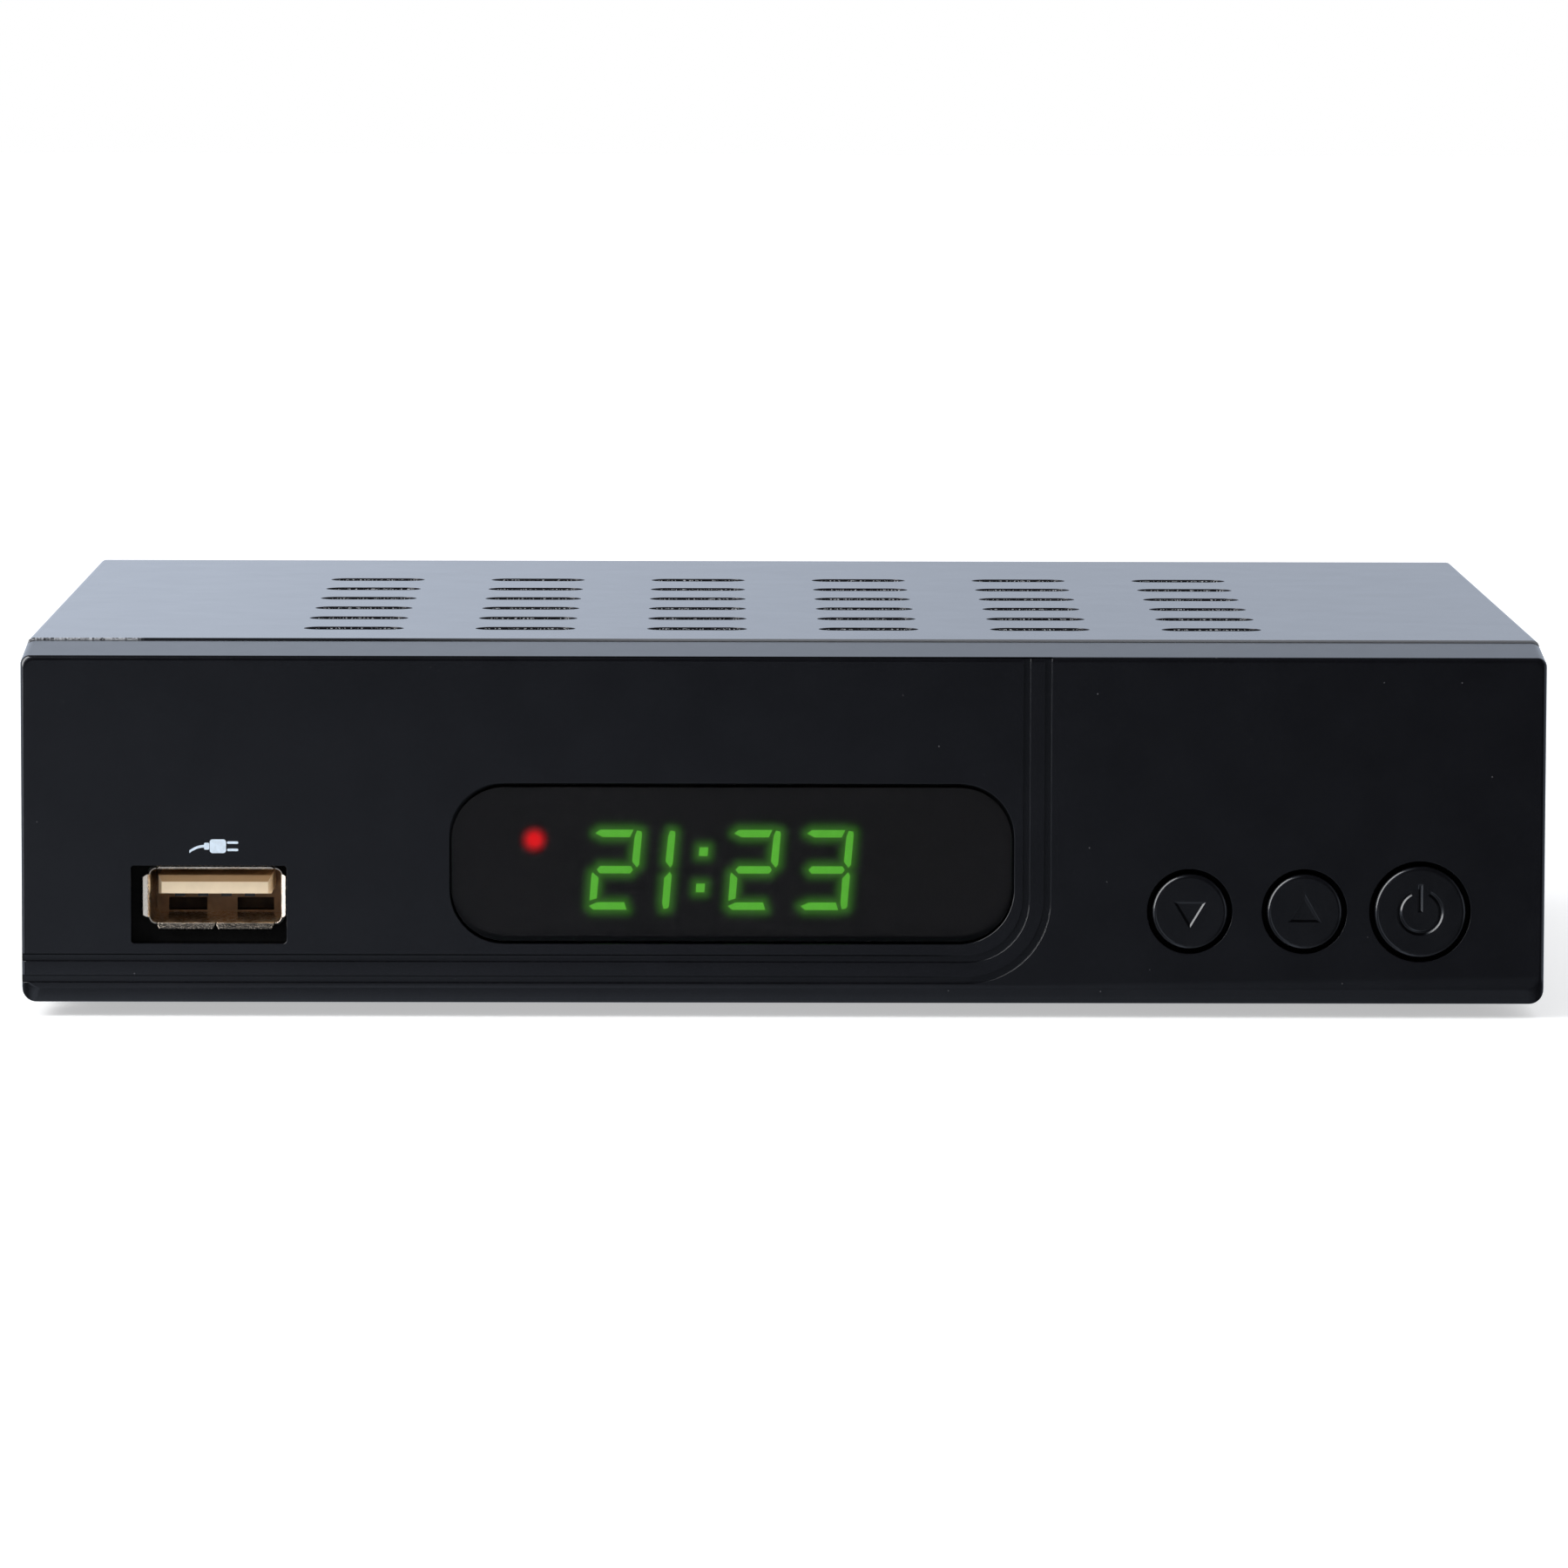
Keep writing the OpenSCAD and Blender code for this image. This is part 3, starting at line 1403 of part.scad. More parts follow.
module power_socket_pin() {
    tip = wall_back + flat_reach;
    color("#c7c9cc") translate([power_socket_x, 0, power_socket_z])
        rod_y(power_pin_d / 2, tip - power_bore_depth, tip - pin_recess);
}

// A flat part lying on the main board, about its middle
module board_part(at, size, lift) {
    translate([at[0], main_front + at[1], board_top + lift + size[2] / 2]) cube(size, center = true);
}

module main_chip() {
    color("#1c1c1f") board_part(chip_at, [chip_side, chip_side, chip_h], 0);
}

module thermal_pad() {
    color("#b9c3cc") board_part(chip_at, [pad_side, pad_side, pad_h], chip_h);
}

module heat_sink() {
    lift = chip_h + pad_h;
    step = (sink_side - fin_t) / (sink_fins - 1);
    color("#5a5c60") {
        board_part(chip_at, [sink_side, sink_side, sink_base], lift);
        for (i = [0:sink_fins - 1])
            board_part(chip_at + [i * step - (sink_side - fin_t) / 2, 0], [fin_t, sink_side, sink_h], lift);
    }
}

module memory_chips() {
    color("#1c1c1f") for (at = MEMORY_AT) board_part(at, memory_size, 0);
}

module capacitors() {
    color("#33475e") for (c = CAPACITORS) translate([c[0], main_front + c[1], board_top]) {
        cylinder(d = c[2] - 2 * cap_groove, h = c[3]);
        cylinder(d = c[2], h = c[3] * cap_foot_share);
        translate([0, 0, c[3] * cap_groove_share]) cylinder(d = c[2], h = c[3] * (1 - cap_groove_share));
    }
}

module inductors() {
    color("#4a4a4d") for (at = INDUCTOR_AT) {
        board_part(at, [inductor_side, inductor_side, inductor_base], 0);
        translate([at[0], main_front + at[1], board_top]) cylinder(d = inductor_d, h = inductor_h);
    }
}

module crystal() {
    color("#c7c9cc") translate([crystal_at[0], main_front + crystal_at[1], board_top])
        linear_extrude(crystal_size[2]) obround(crystal_size[0], crystal_size[1]);
}

module voltage_regulators() {
    color("#1c1c1f") for (at = REGULATOR_AT) {
        board_part(at, regulator_size, 0);
        leg_y = regulator_size[1] / 2 + regulator_leg_out;
        board_part(at + [0, leg_y], regulator_tab, 0);
        for (i = [-1:1]) board_part(at + [i * regulator_leg_step, -leg_y], regulator_leg, 0);
    }
}

in_frame() front_panel();
in_frame() display_lens();
in_frame() chassis_tray();
in_frame() top_cover();
in_frame() rubber_feet();
in_frame() cover_side_screws();
in_frame() cover_rear_screws();
in_frame() panel_screws();
in_frame() standoffs();
in_frame() main_board();
in_frame() main_board_screws();
in_frame() front_board();
in_frame() front_board_screws();
in_frame() down_button();
in_frame() up_button();
in_frame() power_button();
in_frame() down_switch();
in_frame() up_switch();
in_frame() power_switch();
in_frame() down_plunger();
in_frame() up_plunger();
in_frame() power_plunger();
in_frame() switch_frames();
in_frame() digit_module();
in_frame() lit_segments();
in_frame() status_lamp();
in_frame() remote_sensor();
in_frame() data_socket_shell();
in_frame() data_socket_tongue();
in_frame() data_socket_contacts();
in_frame() ribbon_cable();
in_frame() ribbon_headers();
in_frame() tuner_can();
in_frame() tuner_lid();
in_frame() aerial_in_sleeve();
in_frame() aerial_in_contact();
in_frame() aerial_out_sleeve();
in_frame() aerial_out_pin();
in_frame() aerial_insulators();
in_frame() audio_socket_body();
in_frame() audio_socket_sleeve();
in_frame() audio_socket_contact();
in_frame() video_socket_shell();
in_frame() video_socket_tongue();
in_frame() tv_socket_body();
in_frame() tv_socket_contacts();
in_frame() power_socket_body();
in_frame() power_socket_pin();
in_frame() main_chip();
in_frame() thermal_pad();
in_frame() heat_sink();
in_frame() memory_chips();
in_frame() capacitors();
in_frame() inductors();
in_frame() crystal();
in_frame() voltage_regulators();
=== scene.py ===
# %% [markdown]
# # A cable television receiver on a studio table
# The imported solids give every size and place. This lesson keeps them as a fixed frame and dresses them:
# edges get their small radii, surfaces get paint, plastic and plating, and what the solids leave out is
# grown on top.

# %% Load the frame
import json
import math

import bmesh
import bpy
from mathutils import Matrix, Vector


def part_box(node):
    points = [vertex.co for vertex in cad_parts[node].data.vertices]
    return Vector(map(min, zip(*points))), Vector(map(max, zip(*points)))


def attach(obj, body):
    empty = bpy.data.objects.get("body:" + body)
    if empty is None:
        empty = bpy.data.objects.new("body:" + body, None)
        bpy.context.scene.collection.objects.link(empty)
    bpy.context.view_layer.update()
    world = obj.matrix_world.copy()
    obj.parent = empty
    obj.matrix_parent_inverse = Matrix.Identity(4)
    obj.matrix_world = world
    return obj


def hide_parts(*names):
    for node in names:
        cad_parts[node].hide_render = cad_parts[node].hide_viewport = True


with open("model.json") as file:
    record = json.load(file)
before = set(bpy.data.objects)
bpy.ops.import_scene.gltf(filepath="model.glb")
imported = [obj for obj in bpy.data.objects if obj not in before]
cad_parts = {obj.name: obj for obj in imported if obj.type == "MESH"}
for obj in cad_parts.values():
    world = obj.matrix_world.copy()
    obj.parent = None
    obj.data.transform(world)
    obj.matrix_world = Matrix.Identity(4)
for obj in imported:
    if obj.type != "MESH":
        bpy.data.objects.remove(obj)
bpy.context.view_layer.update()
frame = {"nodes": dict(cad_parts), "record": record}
MM = 0.001
scene = bpy.context.scene
face_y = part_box("front_panel")[0].y
bodies = frame["record"]["behaviour"]["bodies"]
body_of = {node: body for body, nodes in bodies.items() for node in nodes}
slot_of = {part["node"]: part["material_slot"] for part in frame["record"]["subparts"]}
print(len(frame["nodes"]), "solids loaded, the face is at y", round(face_y / MM, 2), "mm")

# %% [markdown]
# ## The camera
# The photograph was taken with a long lens from almost straight ahead, a little above the cover. The place,
# the three angles and the focal length were fitted to corners of the panel and to the grid of vent slots.
# A camera can be aimed with a constraint, but three written-out axes keep the fitted roll exactly.

# %% Camera
photo_side_px = 1800
focal_px = 10188.7
film_mm = 36.0
camera_place = Vector((-6.94 * MM, face_y - 868.33 * MM, 109.06 * MM))
turn_right, look_down, roll = 0.0080, 0.0985, 0.0026

ahead = Vector((math.sin(turn_right) * math.cos(look_down), math.cos(turn_right) * math.cos(look_down),
                -math.sin(look_down)))
level = Vector((math.cos(turn_right), -math.sin(turn_right), 0))
upright = level.cross(ahead)
to_right = math.cos(roll) * level + math.sin(roll) * upright
to_top = math.cos(roll) * upright - math.sin(roll) * level
aim = Matrix((to_right, to_top, -ahead)).transposed().to_4x4()

long_lens = bpy.data.cameras.new("long_lens")
long_lens.sensor_width = film_mm
long_lens.lens = film_mm * focal_px / photo_side_px
long_lens.clip_start, long_lens.clip_end = 0.01, 50
camera = bpy.data.objects.new("studio_camera", long_lens)
scene.collection.objects.link(camera)
camera.matrix_world = Matrix.Translation(camera_place) @ aim
scene.camera = camera
scene.view_settings.view_transform = "Standard"
print("Focal length", round(long_lens.lens, 1), "mm")

# %% [markdown]
# ## Short words for node trees
# Shaders and Geometry Nodes are both trees of nodes and sockets. These helpers add a node and give its
# sockets numbers or links by name, and so keep the later cells about the object and not about wiring.

# %% Node helpers
def feed(socket, value):
    """Links a socket to another one, or sets it to a plain value."""
    if isinstance(value, bpy.types.NodeSocket):
        socket.id_data.links.new(value, socket)
    else:
        socket.default_value = value


def give(node, **sockets):
    """Feeds a node's sockets by name. An underscore stands for a space."""
    for label, value in sockets.items():
        feed(node.inputs[label.replace("_", " ")], value)


def add(tree, kind, settings=None, **sockets):
    """Adds a node with its settings and with what its sockets are fed."""
    node = tree.nodes.new(kind)
    for label, value in (settings or {}).items():
        setattr(node, label, value)
    give(node, **sockets)
    return node


def made(tree, kind, settings=None, **sockets):
    """Adds a node and returns its first output."""
    return add(tree, kind, settings, **sockets).outputs[0]


def new_finish(name):
    """A material with its tree and its Principled shader."""
    material = bpy.data.materials.new(name)
    material.use_nodes = True
    return material, material.node_tree, material.node_tree.nodes["Principled BSDF"]


print("Node helpers ready")

# %% [markdown]
# ## Sums in node trees
# Most of a look is arithmetic: a product of a few shares, the largest of them, a ramp from one value to
# another. Each of these words adds the nodes for one such sum to the tree that its sockets belong to, and
# returns the socket with the result.

# %% Sums
def tree_of(*values):
    """The tree of the first socket among some values."""
    return next(value.id_data for value in values if isinstance(value, bpy.types.NodeSocket))


def work_out(operation, *values):
    """A Math node: the result of an operation on sockets or numbers."""
    node = add(tree_of(*values), "ShaderNodeMath", {"operation": operation})
    for socket, value in zip(node.inputs, values):
        feed(socket, value)
    return node.outputs[0]


def times(first, *others):
    """The product of several sockets or numbers."""
    for value in others:
        first = work_out("MULTIPLY", first, value)
    return first


def most(first, *others):
    """The largest of several sockets or numbers."""
    for value in others:
        first = work_out("MAXIMUM", first, value)
    return first


def below(value, limit):
    """One where a value is below a limit, and nought elsewhere."""
    return work_out("LESS_THAN", value, limit)


def above(value, limit):
    """One where a value is above a limit, and nought elsewhere."""
    return work_out("GREATER_THAN", value, limit)


def ramp(value, start, stop, low, high, kind="LINEAR"):
    """A Map Range node: goes from low to high as the value goes from start to stop, and no further."""
    return made(tree_of(value), "ShaderNodeMapRange", {"interpolation_type": kind}, Value=value,
                From_Min=start, From_Max=stop, To_Min=low, To_Max=high)


def blend(share, first, second):
    """A mix of two colours."""
    node = add(tree_of(share), "ShaderNodeMix", {"data_type": "RGBA"})
    for index, value in ((0, share), (6, first), (7, second)):
        feed(node.inputs[index], value)
    return node.outputs[2]


def steps_of(vector, *steps):
    """A row of Vector Math nodes, each with its operation and its second value."""
    tree = tree_of(vector, *[value for _, value in steps])
    for operation, value in steps:
        node = add(tree, "ShaderNodeVectorMath", {"operation": operation}, Vector=vector)
        if value is not None:
            feed(node.inputs["Scale" if operation == "SCALE" else 1], value)
        vector = node.outputs["Value" if operation in ("LENGTH", "DOT_PRODUCT") else "Vector"]
    return vector


def split(vector):
    """The X, Y and Z of a vector."""
    return add(tree_of(vector), "ShaderNodeSeparateXYZ", Vector=vector).outputs


def rgb(red, green, blue, strength=1.0):
    """A colour with its alpha."""
    return (red * strength, green * strength, blue * strength, 1.0)


print("Sums ready")

# %% [markdown]
# ## The studio
# The photograph shows the receiver on plain white. A pale backdrop stands far behind it and shows in the
# cover as a cool grey sheen, a little brighter to the left, while the side behind the camera is dim, so the
# face stays black. That side is lighter low down and to the left, so the face fades upward and to the right,
# and the table in front glows faintly into what leans toward it. A white card stands high at the left, and
# one more at the height of the box on each side. Overhead it is dark, which gives the panel its black upper
# edge.
# Light Path tells these apart: a camera ray sees white, a mirrored ray sees the backdrop, and every other
# ray gets a plain even light. Sampling is off for this world, because its direct lamp samples would not know
# the kind of ray.

# %% Backdrop
backdrop_tone = (0.78, 0.87, 1.03)
even_light = rgb(0.70, 0.71, 0.73)
front_tone, table_tone = 0.21, 0.40
card_tone, left_tone, right_tone = 1.0, 1.3, 0.8
card_way = (-0.81, -0.20, 0.55)

world = bpy.data.worlds.new("white_studio")
scene.world = world
world.use_nodes = True
world.cycles.sampling_method = "NONE"
tree = world.node_tree
ray = add(tree, "ShaderNodeLightPath").outputs
direction = add(tree, "ShaderNodeTexCoord").outputs["Generated"]
x, y, z = split(direction)

# How far a direction points to the back, and how bright the back is from left to right and upward
behind = ramp(y, -0.5, 0.4, 0.0, 1.0, "SMOOTHSTEP")
back_level = times(ramp(x, -0.07, 0.03, 1.07, 0.82), ramp(z, 0.12, 0.40, 0.94, 1.08))
# In front: the dim side, lighter low down and to the left, and the glow of the table
dim_level = times(ramp(x, -0.17, 0.11, 2.6 * front_tone, 0.1 * front_tone),
                  ramp(z, -0.20, -0.02, 2.0, 0.0), ramp(z, -0.60, -0.35, 0.0, 1.0))
table_level = times(ramp(z, -0.3, -0.8, 0.0, table_tone), ramp(x, -0.1, 0.08, 2.15, 0.60))
near_middle = ramp(work_out("ABSOLUTE", x), 0.25, 0.5, 1.0, 0.15)
front_level = times(most(dim_level, table_level), near_middle)
# Both together, dark overhead
in_front = work_out("SUBTRACT", 1.0, behind)
around = work_out("ADD", times(behind, back_level), times(in_front, front_level))
around = times(around, ramp(z, 0.55, 0.80, 1.0, 0.08))

# The white cards: one high at the left, one on each side
toward_card = steps_of(direction, ("DOT_PRODUCT", card_way))
cards = [ramp(toward_card, 0.60, 0.85, 0.0, card_tone)]
at_height = ramp(work_out("ABSOLUTE", z), 0.22, 0.36, 1.0, 0.0)
for side, tone in ((-1, left_tone), (1, right_tone)):
    cards.append(times(at_height, ramp(x, side * 0.70, side * 0.95, 0.0, tone)))
mirrored = steps_of(backdrop_tone, ("SCALE", most(around, *cards)))
light = blend(most(ray["Is Glossy Ray"], ray["Is Transmission Ray"]), even_light, mirrored)
give(tree.nodes["Background"], Color=blend(ray["Is Camera Ray"], light, rgb(1, 1, 1)))
print("Backdrop tone", backdrop_tone, "and in front", front_tone)

# %% [markdown]
# ## Floor and lamps
# The floor is a wide pale sheet. Its own faint glow, kept from the rays that light other pieces, lifts it to
# the photograph's white and leaves the contact shadow in. One large soft box hangs at the upper left, and a
# second, wider one overhead fills the top. The backdrop already holds what is mirrored, so no surface
# mirrors these two. A third lamp does the opposite: it lights nothing and is only mirrored, as thin arcs on
# button rims, signs and trim lines.

# %% Floor and lamps
floor_half = 3.0
floor_lift = 0.45

floor_mesh = bpy.data.meshes.new("floor")
floor_corners = [(x * floor_half, y * floor_half, 0) for x, y in ((-1, -1), (1, -1), (1, 1), (-1, 1))]
floor_mesh.from_pydata(floor_corners, [], [(0, 1, 2, 3)])
floor_paper, tree, paper = new_finish("floor_paper")
ray = add(tree, "ShaderNodeLightPath").outputs
seen = most(ray["Is Camera Ray"], ray["Is Transmission Ray"], ray["Is Glossy Ray"])
give(paper, Base_Color=rgb(0.84, 0.84, 0.84), Roughness=0.9, Specular_IOR_Level=0.1,
     Emission_Color=rgb(1, 1, 1), Emission_Strength=times(seen, floor_lift))
floor_mesh.materials.append(floor_paper)
floor = bpy.data.objects.new("floor", floor_mesh)
scene.collection.objects.link(floor)
floor.visible_glossy = False


def soft_box(name, place, target, wide, tall, radiance, mirrored=False):
    """A soft lamp of an even brightness, aimed at a point. It gives light, or is only mirrored."""
    lamp = bpy.data.lights.new(name, "AREA")
    lamp.shape = "RECTANGLE"
    lamp.size, lamp.size_y = wide, tall
    lamp.energy = radiance * math.pi * wide * tall
    lamp_object = bpy.data.objects.new(name, lamp)
    scene.collection.objects.link(lamp_object)
    lamp_object.location = place
    lamp_object.rotation_euler = (Vector(target) - Vector(place)).to_track_quat("-Z", "Y").to_euler()
    lamp_object.visible_camera = False
    lamp_object.visible_glossy = mirrored
    lamp_object.visible_diffuse = not mirrored
    lamp_object.visible_transmission = not mirrored


soft_box("left_soft_box", (-0.62, -0.42, 0.50), (-0.02, 0.0, 0.02), 0.42, 0.42, 9.0)
soft_box("top_soft_box", (0.05, 0.15, 1.30), (0.0, 0.0, 0.0), 1.2, 1.2, 0.35)
soft_box("rim_lamp", (-0.66, -0.33, 0.50), (0.05, -0.06, 0.02), 0.45, 1.20, 8.0, mirrored=True)
print("Floor", 2 * floor_half, "m wide, three lamps")

# %% [markdown]
# ## Words for finishes
# A real surface is never one colour: it has faint patches, a grain, and places that are more or less glossy.
# A few small helpers give that: a cloud of lumps of a given size, colours or a span of numbers made from it,
# and a relief that turns it into bumps. All read Object coordinates, so nothing slides when a piece moves or
# is exported. Sizes in these helpers are in millimetres.

# %% Finish helpers
def own_place(tree, stretch=None):
    """The piece's own coordinates, squeezed along some axes where a grain runs one way."""
    place = add(tree, "ShaderNodeTexCoord").outputs["Object"]
    if stretch:
        place = made(tree, "ShaderNodeMapping", Vector=place, Scale=stretch)
    return place


def facing_of(tree):
    """The X, Y and Z of the way that the surface faces."""
    return split(add(tree, "ShaderNodeTexCoord").outputs["Normal"])


def cloud(tree, size, detail=2.0, stretch=None):
    """Noise from 0 to 1 with lumps of about a size."""
    return made(tree, "ShaderNodeTexNoise", Vector=own_place(tree, stretch), Scale=1 / (size * MM),
                Detail=detail)


def colours(amount, low, high):
    """Turns a cloud into colours between two tones."""
    node = add(tree_of(amount), "ShaderNodeValToRGB", Fac=amount)
    for stop, place, tone in zip(node.color_ramp.elements, (0.32, 0.68), (low, high)):
        stop.position, stop.color = place, tone
    return node.outputs["Color"]


def span(amount, low, high):
    """Turns a cloud into numbers between two values."""
    return ramp(amount, 0.3, 0.7, low, high)


def relief(height, depth):
    """Turns a cloud into bumps of a depth."""
    return made(tree_of(height), "ShaderNodeBump", Height=height, Distance=depth * MM, Strength=1.0)


def recolour(share, tone):
    """Turns a finish's colour into another tone by a share."""
    skin = tree_of(share).nodes["Principled BSDF"]
    present = skin.inputs["Base Color"].links[0].from_socket
    give(skin, Base_Color=blend(share, present, rgb(*tone)))


def moulded(name, tone, rough, grain=0.25, depth=0.004, patch=9, shade=0.15, **plain):
    """Moulded plastic, rubber or paint: faint patches, a fine grain and uneven gloss."""
    material, tree, skin = new_finish(name)
    give(skin, Base_Color=colours(cloud(tree, patch), rgb(*tone, 1 - shade), rgb(*tone, 1 + shade)),
         Roughness=span(cloud(tree, patch / 3), rough - 0.04, rough + 0.05),
         Normal=relief(cloud(tree, grain), depth), **plain)
    return material


def plated(name, tone, rough, stain, stretch=(1, 1, 12), depth=0.002):
    """Plated or rolled metal: streaks along the way it was rolled, and a warmer stain here and there."""
    material, tree, skin = new_finish(name)
    streak = cloud(tree, 0.5, 3.0, stretch)
    tint = blend(span(cloud(tree, 3), 0.0, 0.7), rgb(*tone), rgb(*stain))
    give(skin, Base_Color=tint, Roughness=span(streak, rough - 0.05, rough + 0.09),
         Normal=relief(streak, depth), Metallic=1.0)
    return material


print("Finish helpers ready")

# %% [markdown]
# ## Plain moulded and metal finishes
# Most pieces are black plastic, plated metal or resin, and differ only in tone, gloss and grain. A short
# table of values is easier to tune than twenty separate trees. Tones are linear, not screen values.

# %% Moulded and metal finishes
finish = {
    "button_plastic": moulded("satin_black_caps", (0.0042, 0.0044, 0.0056), 0.18, 0.20, 0.0008),
    "foot_rubber": moulded("foot_rubber", (0.016, 0.016, 0.017), 0.78, 0.18, 0.012),
    "switch_plastic": moulded("switch_black", (0.020, 0.020, 0.022), 0.48),
    "plunger_plastic": moulded("plunger_red_brown", (0.32, 0.05, 0.03), 0.42),
    "module_plastic": moulded("module_mask", (0.006, 0.006, 0.0065), 0.62, 0.10),
    "sensor_plastic": moulded("sensor_violet", (0.018, 0.012, 0.020), 0.12, 0.8, 0.001),
    "white_plastic": moulded("natural_nylon", (0.70, 0.67, 0.59), 0.40, 0.3, 0.003, shade=0.05),
    "socket_black": moulded("socket_black", (0.013, 0.013, 0.014), 0.42, 0.22, 0.004),
    "socket_orange": moulded("socket_orange", (0.72, 0.25, 0.05), 0.38, 0.25, 0.003, shade=0.07),
    "chip_resin": moulded("chip_resin", (0.022, 0.022, 0.024), 0.56, 0.12, 0.006),
    "pad_silicone": moulded("pad_silicone", (0.42, 0.50, 0.56), 0.66, 0.20, 0.006, shade=0.06),
    "ribbon": moulded("ribbon_grey", (0.50, 0.51, 0.53), 0.44, 0.3, 0.002, shade=0.06),
    "ferrite": moulded("ferrite_grey", (0.055, 0.055, 0.057), 0.60, 0.15, 0.010),
    "nickel": plated("bright_nickel", (0.74, 0.72, 0.69), 0.20, (0.64, 0.58, 0.50)),
    "gold": plated("gold_flash", (0.86, 0.64, 0.28), 0.22, (0.70, 0.47, 0.18)),
    "bare_steel": plated("zinc_sheet", (0.52, 0.53, 0.55), 0.30, (0.40, 0.41, 0.43), (1, 12, 1)),
    "black_screw": plated("black_zinc", (0.060, 0.060, 0.064), 0.32, (0.10, 0.095, 0.09)),
    "bright_screw": plated("bright_zinc", (0.64, 0.65, 0.66), 0.26, (0.55, 0.52, 0.46)),
    "sink_alloy": plated("black_anodised", (0.085, 0.085, 0.09), 0.38, (0.11, 0.105, 0.10), (12, 1, 1)),
}
print(len(finish), "plain finishes")

# %% [markdown]
# ## Dark places
# Hardly any light comes out of the gaps round the buttons and the window, so colour and gloss are taken away
# there: this is painted shade. The same painted shade lies along the upper edges of the two trim lines, and
# on those walls of the pressed-in signs that face right or up. Each of these places is a share from 0 to 1,
# and its measures are in millimetres.

# %% Shares of the dark places
def zone_share(tree, node, inset, corner, start, stop=90):
    """A solid's box less an inset, with round corners, between two depths behind the face: a place for
    painted shade.
    """
    low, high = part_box(node)
    core = (high - low) / 2 - Vector.Fill(3, (inset + corner) * MM)
    away = steps_of(own_place(tree), ("SUBTRACT", (low + high) / 2), ("ABSOLUTE", None),
                    ("SUBTRACT", (core.x, 1.0, core.z)), ("MAXIMUM", (0, 0, 0)), ("LENGTH", None))
    depth = split(own_place(tree))["Y"]
    return times(below(away, corner * MM), below(depth, face_y + stop * MM),
                 ramp(depth, face_y + start * MM, face_y + (start + 0.2) * MM, 0.0, 1.0))


def line_share(tree, height, right_end, share):
    """A thin line of painted shade along the face, which fades out at its right end."""
    x, y, z = split(own_place(tree))
    return times(work_out("COMPARE", z, height * MM, 0.08 * MM), below(y, face_y + 0.35 * MM),
                 ramp(x, (right_end - 5) * MM, right_end * MM, share, 0.0))


def sign_share(tree, node, radius):
    """The walls of a button's sign that face right or up, as far as a radius from its middle, which get
    painted shade.
    """
    low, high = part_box(node)
    away = steps_of(own_place(tree), ("SUBTRACT", (low + high) / 2), ("MULTIPLY", (1, 0, 1)),
                    ("LENGTH", None))
    facing = facing_of(tree)
    far_wall = ramp(work_out("ADD", facing["X"], facing["Z"]), 0.30, 0.45, 0.0, 0.9)
    return times(far_wall, below(away, radius * MM))


def take_light(*shares):
    """Paints shade: takes colour and gloss away by the largest of some shares."""
    share = most(*shares)
    recolour(share, (0.0010, 0.0010, 0.0012))
    give(tree_of(share).nodes["Principled BSDF"], Specular_IOR_Level=ramp(share, 0.0, 1.0, 0.5, 0.03))


gap = {"inset": 1.6, "corner": 0.5}
sign_radius = {"down_button": 2.4, "up_button": 2.4, "power_button": 2.8}
tree = finish["button_plastic"].node_tree
# Painted shade on the caps' sides inside the holes and on the signs' far walls
take_light(zone_share(tree, "front_panel", **gap, start=-0.10),
           *[sign_share(tree, node, radius) for node, radius in sign_radius.items()])
print("Shaded the gaps and signs of", len(sign_radius), "buttons")

# %% [markdown]
# ## The face's plastic and the cover's paint
# The panel is moulded in a tool with a spark-eroded skin: matt and almost black from the front, but grey on
# the sloping ledge, where light skims over the grain. The cover is sheet steel with a smooth semi-gloss
# paint, which mirrors the backdrop when it is seen edge-on. Both effects come from the shader's own gloss at
# a low angle, so only a low base tone, a gloss and a grain are written here. The cover's cut front edge is
# bare at the left and its paint is thin from the middle to the right; the pale specks on the slots' far walls
# are painted highlights.

# %% Panel plastic and cover paint
def panel_plastic():
    """Spark-eroded black plastic with a few pale dust specks."""
    material, tree, skin = new_finish("spark_eroded_black")
    tone = colours(cloud(tree, 6, 4.0), rgb(0.0036, 0.0037, 0.0050), rgb(0.0048, 0.0050, 0.0066))
    dust = made(tree, "ShaderNodeTexVoronoi", Vector=own_place(tree), Scale=1 / (3.2 * MM), Randomness=1.0)
    speck = times(below(dust, 0.022), 0.3)
    give(skin, Base_Color=blend(speck, tone, rgb(0.25, 0.25, 0.26)),
         Roughness=span(cloud(tree, 2), 0.16, 0.19), Normal=relief(cloud(tree, 0.16, 1.0), 0.0012))
    return material


def bare_edge_and_glint_share(tree):
    """Where the cover turns pale: bare steel on its cut front edge, and specks of painted highlight on the
    far walls of its slots.
    """
    x, y, z = split(own_place(tree))
    cover_low, cover_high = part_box("top_cover")
    on_cut = below(y, cover_low.y + 0.06 * MM)
    rubbed_x, thin_x = (-63.9 * MM, -63.2 * MM), (-40 * MM, -12 * MM)
    rub = times(ramp(x, *rubbed_x, 1.0, 0.0), span(cloud(tree, 0.25, 4.0), -0.2, 1.1))
    thin_paint = ramp(x, *thin_x, 0.0, 0.28)
    # Painted highlights: pale specks on the slot walls that face the front, just below the cover's top
    slot_glint = times(below(facing_of(tree)["Y"], -0.8),
                 work_out("COMPARE", z, cover_high.z - 0.18 * MM, 0.06 * MM),
                 above(y, cover_low.y + 1.0 * MM), span(cloud(tree, 0.2, 3.0), -1.5, 1.2))
    return most(times(on_cut, most(rub, thin_paint)), slot_glint)


def cover_paint(name):
    """Semi-gloss black paint with a faint orange peel."""
    material, tree, skin = new_finish(name)
    tone = colours(cloud(tree, 14), rgb(0.0105, 0.0110, 0.0135), rgb(0.0150, 0.0155, 0.0180))
    give(skin, Base_Color=tone, Roughness=span(cloud(tree, 5), 0.165, 0.175),
         Normal=relief(cloud(tree, 0.25), 0.00006))
    return material
